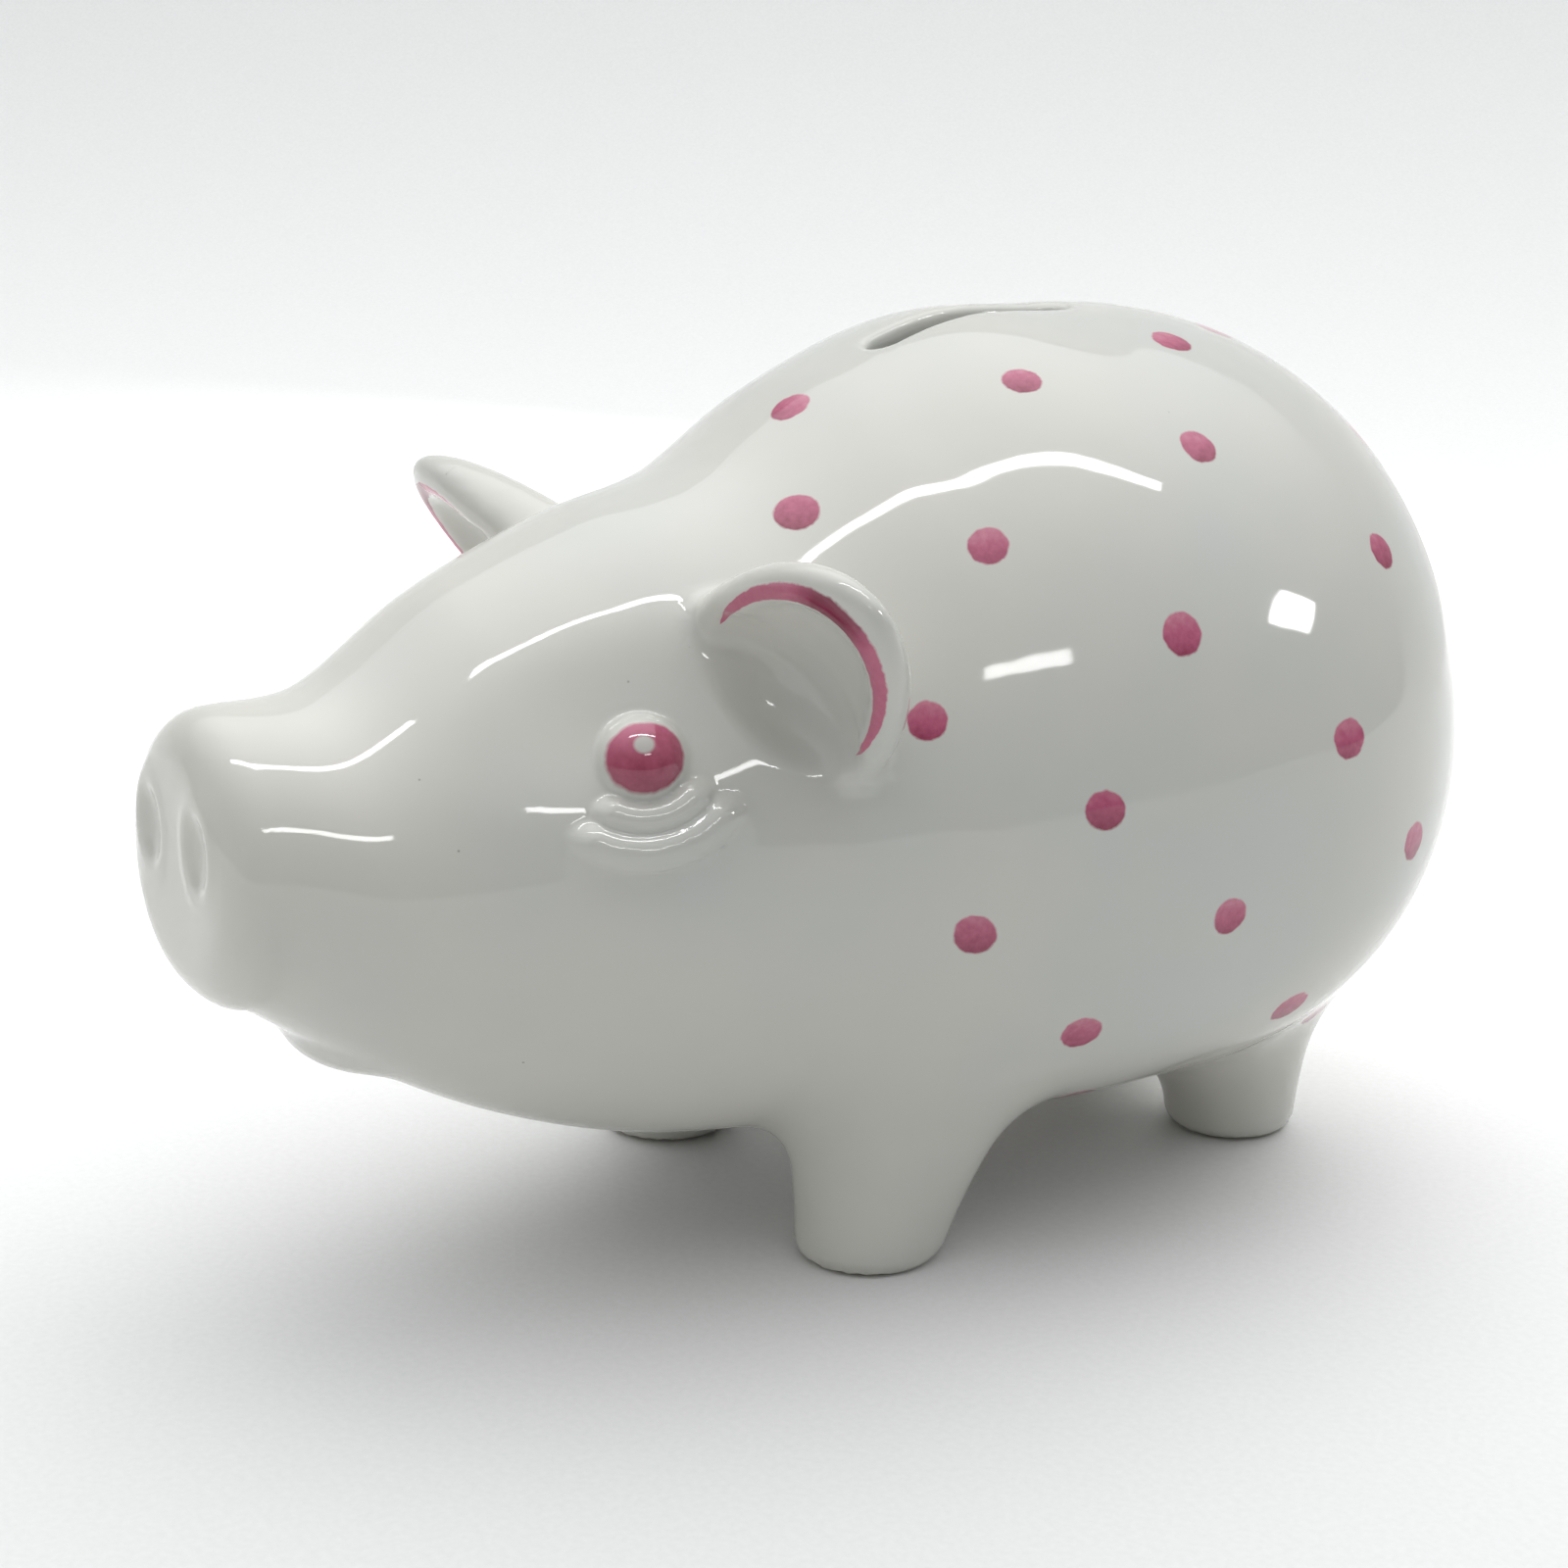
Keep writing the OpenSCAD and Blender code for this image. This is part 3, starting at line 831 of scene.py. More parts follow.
    def _chin(self, p: Points, skin: np.ndarray) -> np.ndarray:
        """Add the lower lip under the snout."""
        c = self.chin
        q = (p - np.array(c.middle)) / np.array(c.size)
        lip = (np.linalg.norm(q, axis=1) - 1) * c.size[2]
        return smooth_min(skin, lip, c.blend)

    def freeze_outer(self, p: Points) -> Level:
        """Distance function of the uncut outside near the given points.

        Args:
            p: places, in millimetres.

        Returns:
            A function that gives one distance for each place; below 0 is clay.
        """
        skin = self.body.freeze(mirrored(p))
        near_ear, far_ear = self.ear.freeze(mirrored(p)), self.far_ear.freeze(mirrored(p))
        left = p[:, 0] > 0

        def ears(q: Points) -> np.ndarray:
            """Distance to the ear on the same side as the point."""
            return np.where(left, near_ear(q), far_ear(q))

        return lambda q: self._outer(q, skin, ears)

    def freeze(self, p: Points) -> Level:
        """Distance function of the finished, hollow casting near the given points."""
        outer = self.freeze_outer(p)
        hollow = self.body.freeze(p, self.body.wall)
        return lambda q: self._open(q, outer(q), hollow(q))

    def _outer(self, p: Points, body: Level, ears: Level) -> np.ndarray:
        """Distance to the outside of the casting, before its openings are cut.

        Args:
            p: places, in millimetres.
            body: distance function of the body.
            ears: distance function of both ears.

        Returns:
            One distance for each place.
        """
        q = mirrored(p)
        skin = self._chin(q, body(q))
        skin = self._eyes(q, skin)
        skin = self._nostrils(q, skin)
        skin = smooth_min(skin, ears(q), 1.6)
        skin = smooth_max(skin, -self.ear.pit(q), 1.5)
        skin = smooth_min(skin, self.front_leg.distance(q), 6.5)
        skin = smooth_min(skin, self.hind_leg.distance(q), 11.0)
        return smooth_min(skin, self._tail(p), 1.6)

    def _open(self, p: Points, outer: np.ndarray, hollow: np.ndarray) -> np.ndarray:
        """Hollow the casting and cut its coin slot and belly hole.

        Args:
            p: places, in millimetres.
            outer: distances to the outside.
            hollow: distances to the hollow.

        Returns:
            Distances to the finished casting.
        """
        off_axis = np.hypot(p[:, 0], p[:, 1] - self.trap_y)
        boss = np.maximum(off_axis - self.seat_r - 1, p[:, 2] - self.seat_top)
        solid = smooth_max(outer, -smooth_max(hollow, -boss, 1.5), 1.0)
        seat = np.maximum(off_axis - self.seat_r, p[:, 2] - self.seat_z)
        hole = np.maximum(off_axis - self.hole_r, p[:, 2] - self.seat_top - 10)
        solid = smooth_max(solid, -seat, 0.8)
        solid = smooth_max(solid, -hole, 0.8)
        run = self.slot_len / 2 - self.slot_w / 2
        along = p[:, 1] - self.slot_y
        slot = np.hypot(p[:, 0], along - np.clip(along, -run, run)) - self.slot_w / 2
        slot = np.maximum(slot, 105 - p[:, 2])
        return smooth_max(solid, -slot, 2.0)

    # ------------------------------------------------------------ mesh

    def _rough_parts(self) -> bmesh.types.BMesh:
        """Closed rough shapes that overlap where the finished casting joins."""
        mesh = bmesh.new()
        self._add_body(mesh, 0.0, 96, 72)
        for side in (1, -1):
            self._add_ear(mesh, side)
            for leg in (self.front_leg, self.hind_leg):
                foot = bmesh.ops.create_cone(mesh, cap_ends=True, segments=40, radius1=leg.foot_r - 1,
                                             radius2=leg.foot_r + leg.swell - 2, depth=24,
                                             matrix=Matrix.Translation((side * leg.x, leg.y, 12)))
                for vert in foot["verts"]:
                    vert.co.x += side * leg.lean_x * vert.co.z / 24
                    vert.co.y += leg.lean_y * vert.co.z / 24
        lip = Matrix.Translation(self.chin.middle) @ Matrix.Diagonal((*self.chin.size, 1))
        bmesh.ops.create_uvsphere(mesh, u_segments=32, v_segments=20, radius=1.0, matrix=lip)
        self._add_tail(mesh)
        return mesh

    def _add_body(self, mesh: bmesh.types.BMesh, inset: float, around: int, lengthways: int) -> None:
        """Add the body's skin: a sphere whose points are moved out to the body's sections.

        Args:
            mesh: the mesh to add to.
            inset: how far the skin is drawn in.
            around: segments round the body.
            lengthways: rings from snout to rump.
        """
        made = bmesh.ops.create_uvsphere(mesh, u_segments=around, v_segments=lengthways, radius=1.0,
                                         matrix=Matrix.Rotation(math.radians(90), 4, "X"))
        start = 0.55
        form = self.body
        p = np.array([v.co for v in made["verts"]])
        y = p[:, 1] * form.half_length
        middle = form.along(form.middle, np.clip(y, form.places[0], form.places[-1]))
        p *= np.array([form.half_width[-1], form.half_length - inset, 60.0]) * (start, 1, start)
        p[:, 2] += middle
        for _ in range(60):
            over = self.body.level(p, inset)
            scale = np.clip(1 / (1 + over), 0.8, 1.25)
            p[:, 0] *= scale
            p[:, 2] = middle + (p[:, 2] - middle) * scale
        for vert, co in zip(made["verts"], p):
            vert.co = co

    def _add_ear(self, mesh: bmesh.types.BMesh, side: int) -> None:
        """Add one rough ear: a sphere flattened into the leaf.

        Args:
            mesh: the mesh to add to.
            side: 1 for the pig's left ear, -1 for its right ear.
        """
        e = self.ear if side > 0 else self.far_ear
        along, out, face = e.axes()
        span = math.dist(e.front, e.back)
        made = bmesh.ops.create_uvsphere(mesh, u_segments=48, v_segments=24, radius=1.0)
        for vert in made["verts"]:
            a, b, c = vert.co
            height = -e.root + (e.reach + e.root) * b if b > 0 else -e.root + 3 * b
            sideways = e.width / 2 * a
            share = math.hypot(sideways / e.cup_size[0], (height - e.cup_middle) / e.cup_size[1])
            through = c * e.thick * 0.9 - e.set_back
            if c > 0 and share < 1:
                through = min(through, e.cup_out - e.cup_size[2] * math.sqrt(1 - share**2))
            if c < 0:
                through += c * e.back_bulk * (1 - min(max(height / e.reach, 0), 1))
            place = np.array(e.front) + along * (span / 2 + sideways) + out * height + face * through
            vert.co = (side * place[0], place[1], place[2])

    def _add_tail(self, mesh: bmesh.types.BMesh) -> None:
        """Add the rough curl: a disc spun round the ring's axis, closed at both ends."""
        middle, out, up = (Vector(v) for v in self._tail_axes())
        spot = middle + Vector((self.tail_r, 0, 0))
        turn = out.to_track_quat("Y", "Z").to_matrix().to_4x4()
        disc = bmesh.ops.create_circle(mesh, cap_ends=True, segments=16, radius=self.tail_d / 2,
                                       matrix=Matrix.Translation(spot) @ turn)
        faces = list({f for v in disc["verts"] for f in v.link_faces})
        geometry = list(disc["verts"]) + list({e for v in disc["verts"] for e in v.link_edges}) + faces
        bmesh.ops.spin(mesh, geom=geometry, cent=middle, axis=out, angle=math.radians(345), steps=40)

    def _hollow(self) -> bmesh.types.BMesh:
        """The hollow as a closed solid."""
        mesh = bmesh.new()
        self._add_body(mesh, self.body.wall, 64, 48)
        return mesh

    def _shafts(self) -> bmesh.types.BMesh:
        """The belly hole with its seat, and the coin slot."""
        mesh = bmesh.new()
        for radius, top in ((self.hole_r, 40.0), (self.seat_r, self.seat_z)):
            bmesh.ops.create_cone(mesh, cap_ends=True, segments=96, radius1=radius, radius2=radius, depth=top,
                                  matrix=Matrix.Translation((0, self.trap_y, top / 2)))
        place = Matrix.Translation((0, self.slot_y, 125))
        bmesh.ops.create_cube(mesh, size=1.0,
                              matrix=place @ Matrix.Diagonal((self.slot_w, self.slot_len - 1.5, 30, 1)))
        return mesh

    def build(self) -> bpy.types.Object:
        """Model the casting: join the rough parts, hollow and cut them, then settle every point on the form.

        Returns:
            The finished, painted casting.
        """
        rough = object_from(self._rough_parts(), "rough_parts")
        voxel_join(rough, self.grid_mm)
        write_points(rough, settle(self.freeze_outer, read_points(rough), rounds=6))
        even_out(rough, 2)
        write_points(rough, settle(self.freeze_outer, read_points(rough), rounds=2))
        voxel_join(rough, self.grid_mm)
        for name, cutter in (("hollow", self._hollow()), ("shafts", self._shafts())):
            cut = object_from(cutter, name)
            if name == "shafts":
                voxel_join(cut, 0.6)
            take_away(rough, cut)
            bpy.data.objects.remove(cut)
        voxel_join(rough, self.grid_mm)
        write_points(rough, settle(self.freeze, read_points(rough), rounds=4))
        even_out(rough, 3)
        write_points(rough, settle(self.freeze, read_points(rough), rounds=2))
        for eyes_only in (False, True):
            self._refine(rough, eyes_only)
            write_points(rough, settle(self.freeze, read_points(rough), rounds=3))
        made = self._finish_mesh(rough, "porcelain_casting")
        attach(made, "bank")
        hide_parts("body_shell", "ear_left", "ear_right", "tail", "leg_front_left",
                    "leg_front_right", "leg_hind_left", "leg_hind_right")
        return made

    def _refine(self, rough: bpy.types.Object, eyes_only: bool) -> None:
        """Halve the faces where the shapes are finest.

        Args:
            rough: the mesh, in millimetres.
            eyes_only: true for the eyes alone, false for the ears, the nostrils and the coin slot too.
        """
        p = read_points(rough)
        q = mirrored(p)
        fine = np.linalg.norm(q - np.array(self.eye.near), axis=1) < (13.0 if eyes_only else 16.0)
        if not eyes_only:
            _, height, through = self.ear.local(q)
            cup = (self.ear.cup(q) < 1.3) & (np.abs(through) < 8) & (height > 0)
            across, high = q[:, 0] - self.snout.nostril_x, p[:, 2] - self.snout.nostril_z
            nose = (p[:, 1] < -95) & (np.hypot(across, high) < 8)
            slot = (q[:, 0] < 5.5) & (np.abs(p[:, 1] - self.slot_y) < self.slot_len / 2 + 3) & (p[:, 2] > 112)
            fine = fine | cup | nose | slot
        mesh = bmesh.new()
        mesh.from_mesh(rough.data)
        mesh.verts.ensure_lookup_table()
        edges = [e for e in mesh.edges if fine[e.verts[0].index] and fine[e.verts[1].index]]
        bmesh.ops.subdivide_edges(mesh, edges=edges, cuts=1, use_grid_fill=True)
        mesh.to_mesh(rough.data)
        mesh.free()

    def _finish_mesh(self, rough: bpy.types.Object, name: str) -> bpy.types.Object:
        """Paint attributes, smooth shading and metres.

        Args:
            rough: the settled mesh, in millimetres.
            name: the piece's name.

        Returns:
            The same object, finished.
        """
        rough.name = name
        rough.data.name = name
        self._paint(rough)
        rough.data.transform(Matrix.Scale(MM, 4))
        rough.data.shade_smooth()
        return rough

    # ------------------------------------------------------------ paint

    def _paint(self, rough: bpy.types.Object) -> None:
        """Write the paint attributes: dots, ear strokes, irises and bare clay."""
        p = read_points(rough)
        q = mirrored(p)
        skin = self.body.freeze(p)(p)
        outside = skin > -2.5
        dab, tone = self._dab_coordinates(p, outside)
        write_vectors(rough, "dab", dab)
        write_floats(rough, "dab_tone", tone)
        write_vectors(rough, "iris", self._iris_coordinates(q))
        write_vectors(rough, "stroke", self._stroke_coordinates(q, p[:, 0] > 0))
        foot = smooth_step(0.6, 0.15, p[:, 2])
        inside = smooth_step(-2.2, -3.6, skin) * (q[:, 2] > self.seat_z + 1) * (self.ear.pit(q) > 1.8)
        slot_wall = smooth_step(118, 121, p[:, 2]) * (np.abs(p[:, 0]) < 4)
        write_floats(rough, "bare", np.maximum(foot, inside * (1 - slot_wall)))

    def _dab_coordinates(self, p: Points, outside: np.ndarray) -> tuple[np.ndarray, np.ndarray]:
        """Flat coordinates about the nearest dot, in dot radii, and that dot's tone.

        The third coordinate grows away from the dot, so that no false dot appears half-way to the next one.

        Args:
            p: places, in millimetres.
            outside: true on the outer skin.

        Returns:
            One vector, and one tone, for each place.
        """
        rng = np.random.default_rng(7)
        best = np.full(len(p), 1e9)
        out = np.full((len(p), 3), 9.0)
        tones = np.zeros(len(p))
        for side in (1, -1):
            for dot in self.dots:
                near = np.array(dot, float) * (side, 1, 1)
                if side < 0 and dot[0] < 9:
                    continue
                if side < 0:
                    near += rng.uniform(-1, 1, 3) * (3, 5, 4) + (0, 5, 1)
                centre, normal = self.body.surface_point(near)
                down = np.array([0, 0, 1.0]) - normal * normal[2]
                if np.linalg.norm(down) < 0.3:
                    down = np.array([0, 1.0, 0]) - normal * normal[1]
                down /= np.linalg.norm(down)
                across = np.cross(down, normal)
                radius = self.dot_r * rng.uniform(0.9, 1.08)
                turn = rng.uniform(0, math.pi)
                squash = rng.uniform(0.9, 1.0)
                q = p - centre
                d = np.linalg.norm(q, axis=1)
                u, v = q @ across / radius, q @ down / radius
                a = u * math.cos(turn) + v * math.sin(turn)
                b = (v * math.cos(turn) - u * math.sin(turn)) / squash
                u, v = a * math.cos(turn) - b * math.sin(turn), a * math.sin(turn) + b * math.cos(turn)
                take = (d < best) & outside
                best = np.where(take, d, best)
                clear = 9 * smooth_step(1.7, 2.6, d / radius)
                out[take] = np.stack([u, v, clear], 1)[take]
                tones[take] = rng.uniform(-0.05, 0.16)
        return out, tones

    def _iris_coordinates(self, q: Points) -> np.ndarray:
        """Flat coordinates on the eye, in iris radii, as seen from in front of the eye."""
        middle, out, up, rear = self.eye.axes(self.body)
        r = q - middle
        far = np.linalg.norm(r, axis=1) > 14
        flat = np.stack([r @ rear / self.eye.iris_w, r @ up / self.eye.iris_h, np.zeros(len(q))], 1)
        flat[far] = 9.0
        return flat

    def _stroke_coordinates(self, q: Points, left: np.ndarray) -> np.ndarray:
        """Place along and across the brush stroke that follows the inside of each ear's rim.

        Args:
            q: places, mirrored to the pig's left side, in millimetres.
            left: true where the place itself is on the left.

        Returns:
            How far from the stroke's middle line, how far along it, and 1 inside the ear (below 0 elsewhere).
        """
        out = np.zeros((len(q), 3))
        for ear, here in ((self.ear, left), (self.far_ear, ~left)):
            along, height, through = ear.local(q[here])
            angle = np.arctan2(height - 2.0, -along)
            inside = np.minimum(smooth_step(-5.5, -4.0, through), smooth_step(-3.0, 0.5, height))
            inside = np.minimum(inside, smooth_step(1.9, 1.6, ear.cup(q[here])))
            ends = np.minimum(smooth_step(0.05, 0.25, angle), smooth_step(2.95, 2.8, angle))
            inside = np.minimum(inside, ends)
            nearer = 1.0 if ear is self.ear else 1.35
            off = (ear.cup(q[here]) - 1.0 - 0.03 * nearer) * nearer
            out[here] = np.stack([off, np.clip((angle - 0.1) / 2.75, 0, 1), 4 * inside - 3], 1)
        return out

    def dress(self, made: bpy.types.Object) -> None:
        """Give the casting its glaze."""
        made.data.materials.clear()
        made.data.materials.append(PaintedPorcelain().make())


# ---------------------------------------------------------------- mesh helpers


def object_from(mesh: bmesh.types.BMesh, name: str) -> bpy.types.Object:
    """Turn a bmesh into a linked object with outward faces.

    Args:
        mesh: the bmesh, which is freed.
        name: the object's name.

    Returns:
        The new object.
    """
    bmesh.ops.recalc_face_normals(mesh, faces=mesh.faces)
    data = bpy.data.meshes.new(name)
    mesh.to_mesh(data)
    mesh.free()
    made = bpy.data.objects.new(name, data)
    bpy.context.scene.collection.objects.link(made)
    return made


def bake_modifiers(obj: bpy.types.Object) -> None:
    """Replace the object's mesh by what its modifiers make of it."""
    graph = bpy.context.evaluated_depsgraph_get()
    data = bpy.data.meshes.new_from_object(obj.evaluated_get(graph))
    obj.modifiers.clear()
    obj.data = data


def voxel_join(obj: bpy.types.Object, size: float) -> None:
    """Rebuild overlapping closed shapes as one even skin.

    Args:
        obj: the object, in millimetres.
        size: the length of a face's edge.
    """
    remesh = obj.modifiers.new("even_skin", "REMESH")
    remesh.mode = "VOXEL"
    remesh.voxel_size = size
    bake_modifiers(obj)


def take_away(obj: bpy.types.Object, cutter: bpy.types.Object) -> None:
    """Cut one closed shape out of another."""
    cut = obj.modifiers.new("cut", "BOOLEAN")
    cut.operation = "DIFFERENCE"
    cut.solver = "MANIFOLD"
    cut.object = cutter
    bake_modifiers(obj)


def even_out(obj: bpy.types.Object, rounds: int) -> None:
    """Spread the points evenly by a light smoothing."""
    smooth = obj.modifiers.new("even_out", "SMOOTH")
    smooth.factor = 0.5
    smooth.iterations = rounds
    bake_modifiers(obj)


def read_points(obj: bpy.types.Object) -> Points:
    """The mesh's points as an array."""
    flat = np.empty(len(obj.data.vertices) * 3)
    obj.data.vertices.foreach_get("co", flat)
    return flat.reshape(-1, 3)


def write_points(obj: bpy.types.Object, p: Points) -> None:
    """Put moved points back into the mesh."""
    obj.data.vertices.foreach_set("co", p.astype(np.float32).ravel())
    obj.data.update()


def write_vectors(obj: bpy.types.Object, name: str, values: np.ndarray) -> None:
    """Store one vector for each point."""
    layer = obj.data.attributes.new(name, "FLOAT_VECTOR", "POINT")
    layer.data.foreach_set("vector", values.astype(np.float32).ravel())


def write_floats(obj: bpy.types.Object, name: str, values: np.ndarray) -> None:
    """Store one number for each point."""
    layer = obj.data.attributes.new(name, "FLOAT", "POINT")
    layer.data.foreach_set("value", values.astype(np.float32))


def spin_profile(name: str, profile: Sequence[tuple[float, float]], centre: Vector, steps: int,
                 closed: bool) -> bpy.types.Object:
    """Turn an outline about a vertical axis, as on a lathe.

    Args:
        name: the object's name.
        profile: radius and height of each point, in metres.
        centre: a point on the axis, in metres.
        steps: segments in the full turn.
        closed: true if the outline is a loop, false if it starts and ends on the axis.

    Returns:
        The new object.
    """
    mesh = bmesh.new()
    verts = [mesh.verts.new((r, 0.0, z)) for r, z in profile]
    edges = [mesh.edges.new(pair) for pair in zip(verts, verts[1:])]
    if closed:
        edges.append(mesh.edges.new((verts[-1], verts[0])))
    bmesh.ops.spin(mesh, geom=verts + edges, cent=(0, 0, 0), axis=(0, 0, 1), angle=math.tau,
                   steps=steps, use_merge=True)
    bmesh.ops.remove_doubles(mesh, verts=mesh.verts, dist=1e-6)
    bmesh.ops.translate(mesh, verts=mesh.verts, vec=centre)
    made = object_from(mesh, name)
    made.data.shade_smooth()
    return made


# ---------------------------------------------------------------- the belly trap


@dataclass
class BellyTrap:
    """The pressed cover plate, its seal and rivets, and the lock behind it; sizes in metres."""

    sheet: float = 0.8 * MM
    rim_bead: float = 0.55 * MM
    step_r: float = 17.6 * MM
    step_drop: float = 0.5 * MM
    rose_r: float = 8.0 * MM
    bearing_r: float = 4.1 * MM
    rivet_circle: float = 16.0 * MM
    rivet_head_r: float = 2.1 * MM

    def build(self) -> list[bpy.types.Object]:
        """Model the pieces that show under the belly and keep the CAD's lock behind them.

        Returns:
            The new pieces.
        """
        low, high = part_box("trap_plate")
        self.centre = Vector(((low.x + high.x) / 2, (low.y + high.y) / 2, 0))
        self.radius = (high.x - low.x) / 2
        seal_low, seal_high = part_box("trap_gasket")
        self.plate_top = seal_low.z
        return [self._cover(), self._seal(seal_low, seal_high)] + self._rivets()

    def _cover(self) -> bpy.types.Object:
        """The round cover: a pressed disc with a rolled bead, a stepped middle and a raised rose."""
        top, bottom = self.plate_top, self.plate_top - self.sheet
        bead = self.radius - self.rim_bead
        loop = [(self.bearing_r, bottom - self.step_drop), (self.rose_r - 0.5 * MM, bottom - self.step_drop),
                (self.rose_r, bottom - self.step_drop * 0.7), (self.rose_r + 0.4 * MM, bottom),
                (self.step_r - 0.4 * MM, bottom), (self.step_r, bottom - 0.12 * MM),
                (self.step_r + 0.5 * MM, bottom - 0.15 * MM), (self.step_r + 1.0 * MM, bottom)]
        for k in range(9):
            turn = math.radians(-110 + k * 200 / 8)
            loop.append((bead + self.rim_bead * math.cos(turn),
                         (top + bottom) / 2 + self.rim_bead * math.sin(turn)))
        loop += [(bead - 0.6 * MM, top), (self.rose_r, top), (self.bearing_r, top)]
        made = spin_profile("trap_cover", loop, self.centre, 128, True)
        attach(made, "trap")
        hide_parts("trap_plate")
        return made

    def _seal(self, low: Vector, high: Vector) -> bpy.types.Object:
        """The moulded rubber ring with a soft outer edge.

        Args:
            low: lowest corner of the CAD seal.
            high: highest corner of the CAD seal.

        Returns:
            The ring.
        """
        inner, outer = 19.5 * MM, (high.x - low.x) / 2
        round_r = (high.z - low.z) / 2
        loop = [(inner, low.z), (outer - round_r, low.z)]
        for k in range(1, 8):
            turn = math.radians(-90 + k * 180 / 8)
            loop.append((outer + round_r * (math.cos(turn) - 1), low.z + round_r * (math.sin(turn) + 1)))
        loop += [(outer - round_r, high.z), (inner, high.z)]
        made = spin_profile("trap_seal", loop, self.centre, 96, True)
        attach(made, "trap")
        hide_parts("trap_gasket")
        return made

    def _rivets(self) -> list[bpy.types.Object]:
        """Three domed rivets that hold the lock case to the cover."""
        low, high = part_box("case_rivets")
        bottom = self.plate_top - self.sheet
        head = [(0.0, low.z), (self.rivet_head_r * 0.45, low.z + 0.04 * MM),
                (self.rivet_head_r * 0.8, low.z + 0.16 * MM), (self.rivet_head_r, low.z + 0.38 * MM),
                (self.rivet_head_r, bottom), (1.25 * MM, bottom), (1.25 * MM, high.z - 0.5 * MM),
                (2.0 * MM, high.z - 0.5 * MM), (2.0 * MM, high.z - 0.1 * MM), (1.8 * MM, high.z),
                (0.0, high.z)]
        made = []
        for k, angle in enumerate((30, 150, 270)):
            turn = math.radians(angle)
            place = self.centre + Vector((math.cos(turn), math.sin(turn), 0)) * self.rivet_circle
            rivet = spin_profile(f"case_rivet_{k + 1}", head, place, 32, False)
            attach(rivet, "trap")
            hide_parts("case_rivets")
            made.append(rivet)
        return made

    def dress(self, made: list[bpy.types.Object]) -> None:
        """Give the new pieces and the CAD's lock parts their metals and rubber.

        Args:
            made: the pieces from build, the seal second.
        """
        axis = (self.centre.x, self.centre.y, 0.0)
        nickel = PlatedMetal("bright_nickel_plate_turned", "C9C4BC", "A9A39A", 0.16, Grain.TURNED,
                             axis).make()
        zinc = PlatedMetal("zinc_plated_sheet_steel_drawn", "A9ADB2", "83878C", 0.32, Grain.DRAWN,
                           axis).make()
        brass = PlatedMetal("turned_brass", "C6A35A", "8F7036", 0.24, Grain.TURNED, axis).make()
        rubber = SealRubber().make()
        for piece in made:
            piece.data.materials.append(rubber if piece.name == "trap_seal" else nickel)
        for node, metal in (("lock_case", zinc), ("lock_rotor", brass), ("rotor_washer", zinc),
                            ("lock_bolt_front", zinc), ("lock_bolt_rear", zinc)):
            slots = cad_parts[node].data.materials
            slots.clear()
            slots.append(metal)


# ---------------------------------------------------------------- studio


class Role(Enum):
    """What a lamp does: light surfaces softly, or only show as a highlight."""

    FILL = "fill"
    MIRRORED = "mirrored"


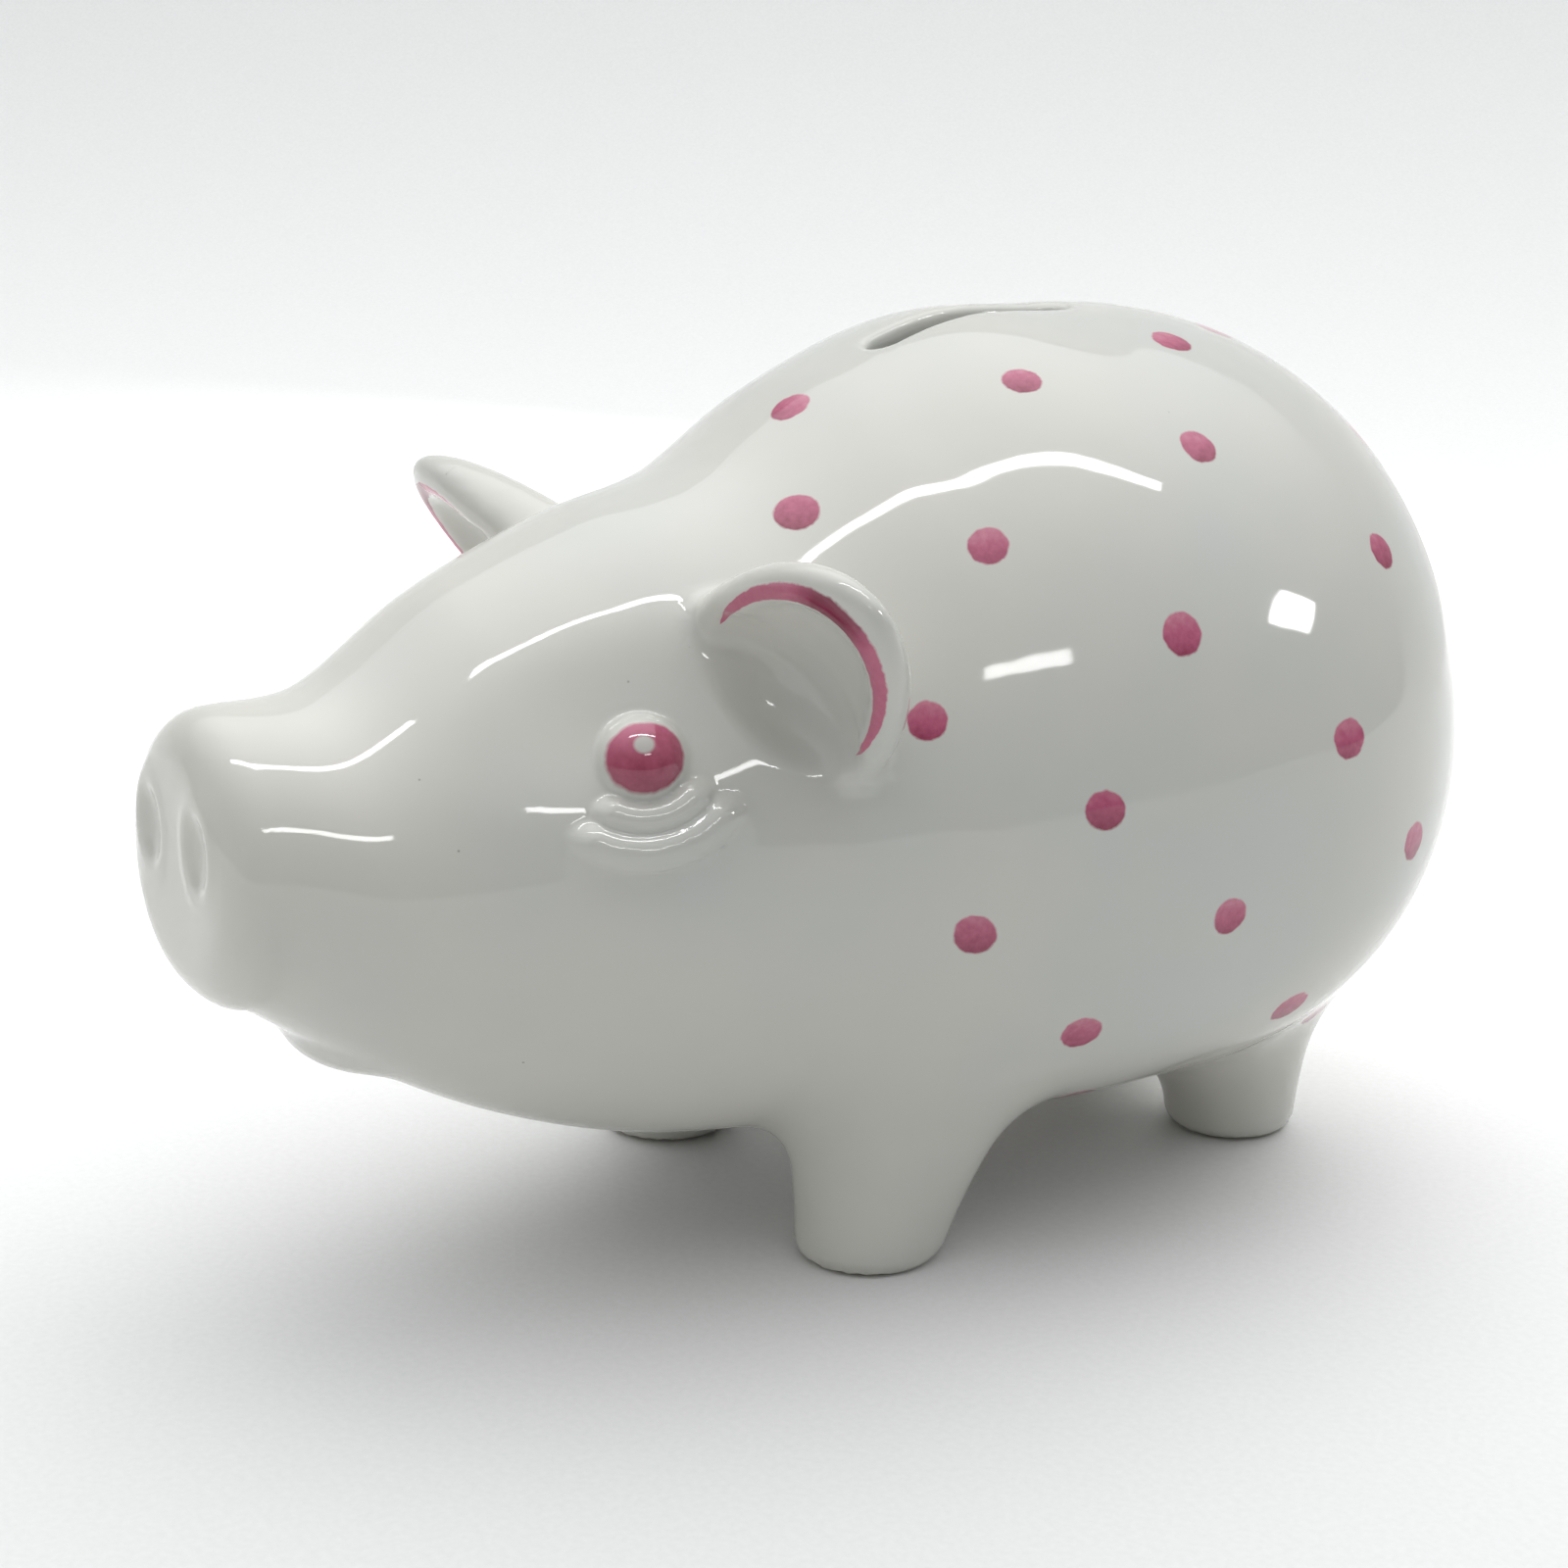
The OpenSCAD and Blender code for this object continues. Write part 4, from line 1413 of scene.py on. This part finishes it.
@dataclass
class Studio:
    """Plain pale sweep, soft lights and the camera; sizes in metres and degrees."""

    azimuth: float = 57.04
    elevation: float = 17.02
    distance: float = 0.4604
    aim_height: float = 0.055
    yaw: float = -0.654
    pitch: float = -0.674
    roll: float = 0.42
    lens: float = 72.0

    def build(self) -> None:
        """Make the sweep, the lights, the world and the camera."""
        self._sweep()
        self._lights()
        self._world()
        self._camera()

    def _sweep(self) -> None:
        """A white floor that curves up behind the object, with painted shade that darkens it towards the
        camera.
        """
        turn = math.radians(self.azimuth)
        mesh = bmesh.new()
        bmesh.ops.create_grid(mesh, x_segments=2, y_segments=60, size=1.0)
        for vert in mesh.verts:
            s = (vert.co.y + 1) * 1.6 - 1.4
            bend = max(0.0, s - 0.55)
            rise = 0.5 * (1 - math.cos(min(bend / 0.5, math.pi / 2))) + max(0.0, bend - 0.5 * math.pi / 2)
            ahead = min(s, 0.55) + 0.5 * math.sin(min(bend / 0.5, math.pi / 2))
            vert.co = (vert.co.x * 2.5, ahead, rise)
        bmesh.ops.rotate(mesh, verts=mesh.verts, cent=(0, 0, 0), matrix=Matrix.Rotation(turn, 3, "Z"))
        floor = object_from(mesh, "sweep")
        floor.data.shade_smooth()
        made, tree, shader = new_material("matt_white_paper")
        place = add_node(tree, "ShaderNodeTexCoord").outputs["Object"]
        fibre = add_node(tree, "ShaderNodeTexNoise", {"Scale": 900.0, "Detail": 4.0}, {"Vector": place})
        colour = ramp(tree, fibre.outputs["Fac"], [(0.3, linear("ECECEB")), (0.7, linear("F1F1F0"))])
        # Painted shade: the paper's colour is scaled down towards the camera, to 0.69 at the front, where
        # less light falls on the floor.
        ahead = add_node(tree, "ShaderNodeVectorMath", {
            "operation": "DOT_PRODUCT", 1: (math.sin(turn), -math.cos(turn), 0.0)}, {0: place})
        front_shade = add_node(tree, "ShaderNodeMapRange", {
            "From Min": -0.15, "From Max": 0.3, "To Min": 1.0, "To Max": 0.69},
            {"Value": ahead.outputs["Value"]})
        colour = add_node(tree, "ShaderNodeVectorMath", {"operation": "SCALE"},
                          {0: colour, "Scale": front_shade.outputs["Result"]}).outputs[0]
        tree.links.new(colour, shader.inputs["Base Color"])
        shader.inputs["Roughness"].default_value = 0.7
        floor.data.materials.append(made)

    def _area(self, name: str, place: Sequence[float], size: tuple[float, float], power: float,
              along: Sequence[float] | None = None, role: Role = Role.FILL) -> None:
        """Add a rectangular light that faces the object.

        Args:
            name: the light's name.
            place: where it stands.
            size: its width and height.
            power: its strength, in watts.
            along: the way its width runs; level if left out.
            role: whether it lights surfaces, or is only seen mirrored in them.
        """
        data = bpy.data.lights.new(name, "AREA")
        data.shape = "RECTANGLE"
        data.size, data.size_y = size
        data.energy = power
        lamp = bpy.data.objects.new(name, data)
        back = (Vector(place) - Vector((0, 0, self.aim_height))).normalized()
        wide = Vector(along) if along else Vector((0, 0, 1)).cross(back)
        wide = (wide - back * wide.dot(back)).normalized()
        turn = Matrix((wide, back.cross(wide), back)).transposed().to_4x4()
        lamp.matrix_world = Matrix.Translation(place) @ turn
        lamp.visible_diffuse = role is not Role.MIRRORED
        lamp.visible_glossy = role is not Role.FILL
        lamp.visible_camera = False
        bpy.context.scene.collection.objects.link(lamp)

    def _lights(self) -> None:
        """A broad light overhead, and the lamps and panes that show as highlights in the glaze."""
        self._area("overhead", (-0.65, 0.9, 1.6), (3.0, 2.4), 21.0, role=Role.FILL)
        self._area("bounce_card", self._toward(15, 10, 1.2), (1.2, 0.4), 1.0, role=Role.FILL)
        self._area("rear_fill", self._toward(225, 16, 0.6), (0.6, 0.12), 1.2, role=Role.FILL)
        self._area("tube", (0.22, 0.07, 1.40), (1.55, 0.075), 8.7, along=(0.39, 0.92, 0), role=Role.MIRRORED)
        self._area("window", self._toward(137, 27, 2.0), (0.24, 0.24), 5.0, along=(-0.76, 0.31, 0.57),
                   role=Role.MIRRORED)
        self._area("transom", self._toward(81, 34, 2.0), (0.5, 0.10), 2.2, role=Role.MIRRORED)

    @staticmethod
    def _toward(azimuth: float, elevation: float, distance: float) -> Vector:
        """A place seen from the object in the given direction."""
        turn, lift = math.radians(azimuth), math.radians(elevation)
        return Vector((math.sin(turn) * math.cos(lift), -math.cos(turn) * math.cos(lift),
                       math.sin(lift))) * distance

    def _world(self) -> None:
        """An even pale surround."""
        world = bpy.data.worlds.new("surround")
        world.use_nodes = True
        bpy.context.scene.world = world
        tree = world.node_tree
        way = add_node(tree, "ShaderNodeTexCoord").outputs["Generated"]
        height = add_node(tree, "ShaderNodeSeparateXYZ", links={0: way}).outputs[2]
        sky = ramp(tree, height, [(0.0, linear("4C4E50")), (0.35, linear("5C5F61")), (0.7, linear("BABCBE")),
                                  (1.0, linear("FAFBFC"))])
        turn = math.radians(self.azimuth)
        toward = add_node(tree, "ShaderNodeVectorMath", {
            "operation": "DOT_PRODUCT", 1: (math.sin(turn), -math.cos(turn), 0.0)}, {0: way})
        dim = add_node(tree, "ShaderNodeMapRange", {"From Min": -1.0, "From Max": 1.0, "To Min": 1.7,
                                                    "To Max": 0.45}, {"Value": toward.outputs["Value"]})
        sky = add_node(tree, "ShaderNodeVectorMath", {"operation": "SCALE"},
                       {0: sky, "Scale": dim.outputs[0]}).outputs[0]
        tree.links.new(sky, tree.nodes["Background"].inputs["Color"])
        tree.nodes["Background"].inputs["Strength"].default_value = 1.95
        bpy.context.scene.view_settings.view_transform = "Standard"

    def _camera(self) -> None:
        """The camera, orbiting a point above the middle of the object's footprint."""
        low, high = CAD_BOX
        target = Vector(((low.x + high.x) / 2, (low.y + high.y) / 2, low.z + self.aim_height))
        turn, lift = math.radians(self.azimuth), math.radians(self.elevation)
        back = Vector((math.sin(turn) * math.cos(lift), -math.cos(turn) * math.cos(lift), math.sin(lift)))
        data = bpy.data.cameras.new("camera")
        data.lens = self.lens
        data.sensor_width = 36.0
        data.clip_start, data.clip_end = 0.01, 20.0
        camera = bpy.data.objects.new("camera", data)
        camera.location = target + back * self.distance
        look = (-back).to_track_quat("-Z", "Y")
        aim = (Matrix.Rotation(math.radians(-self.yaw), 3, "Y") @ Matrix.Rotation(
            math.radians(-self.pitch), 3, "X")).to_quaternion()
        spin = Matrix.Rotation(math.radians(self.roll), 3, "Z").to_quaternion()
        camera.rotation_mode = "QUATERNION"
        camera.rotation_quaternion = look @ spin @ aim
        bpy.context.scene.collection.objects.link(camera)
        bpy.context.scene.camera = camera


def main() -> None:
    """Build the money box and its studio."""
    logging.basicConfig(level=logging.INFO, format="%(name)s %(message)s")
    casting = PorcelainCasting()
    body = casting.build()
    casting.dress(body)
    LOG.info("casting: %d faces", len(body.data.polygons))
    trap = BellyTrap()
    pieces = trap.build()
    trap.dress(pieces)
    for piece in pieces:
        LOG.info("trap piece: %s", piece.name)
    Studio().build()


if __name__ == "__main__":
    main()
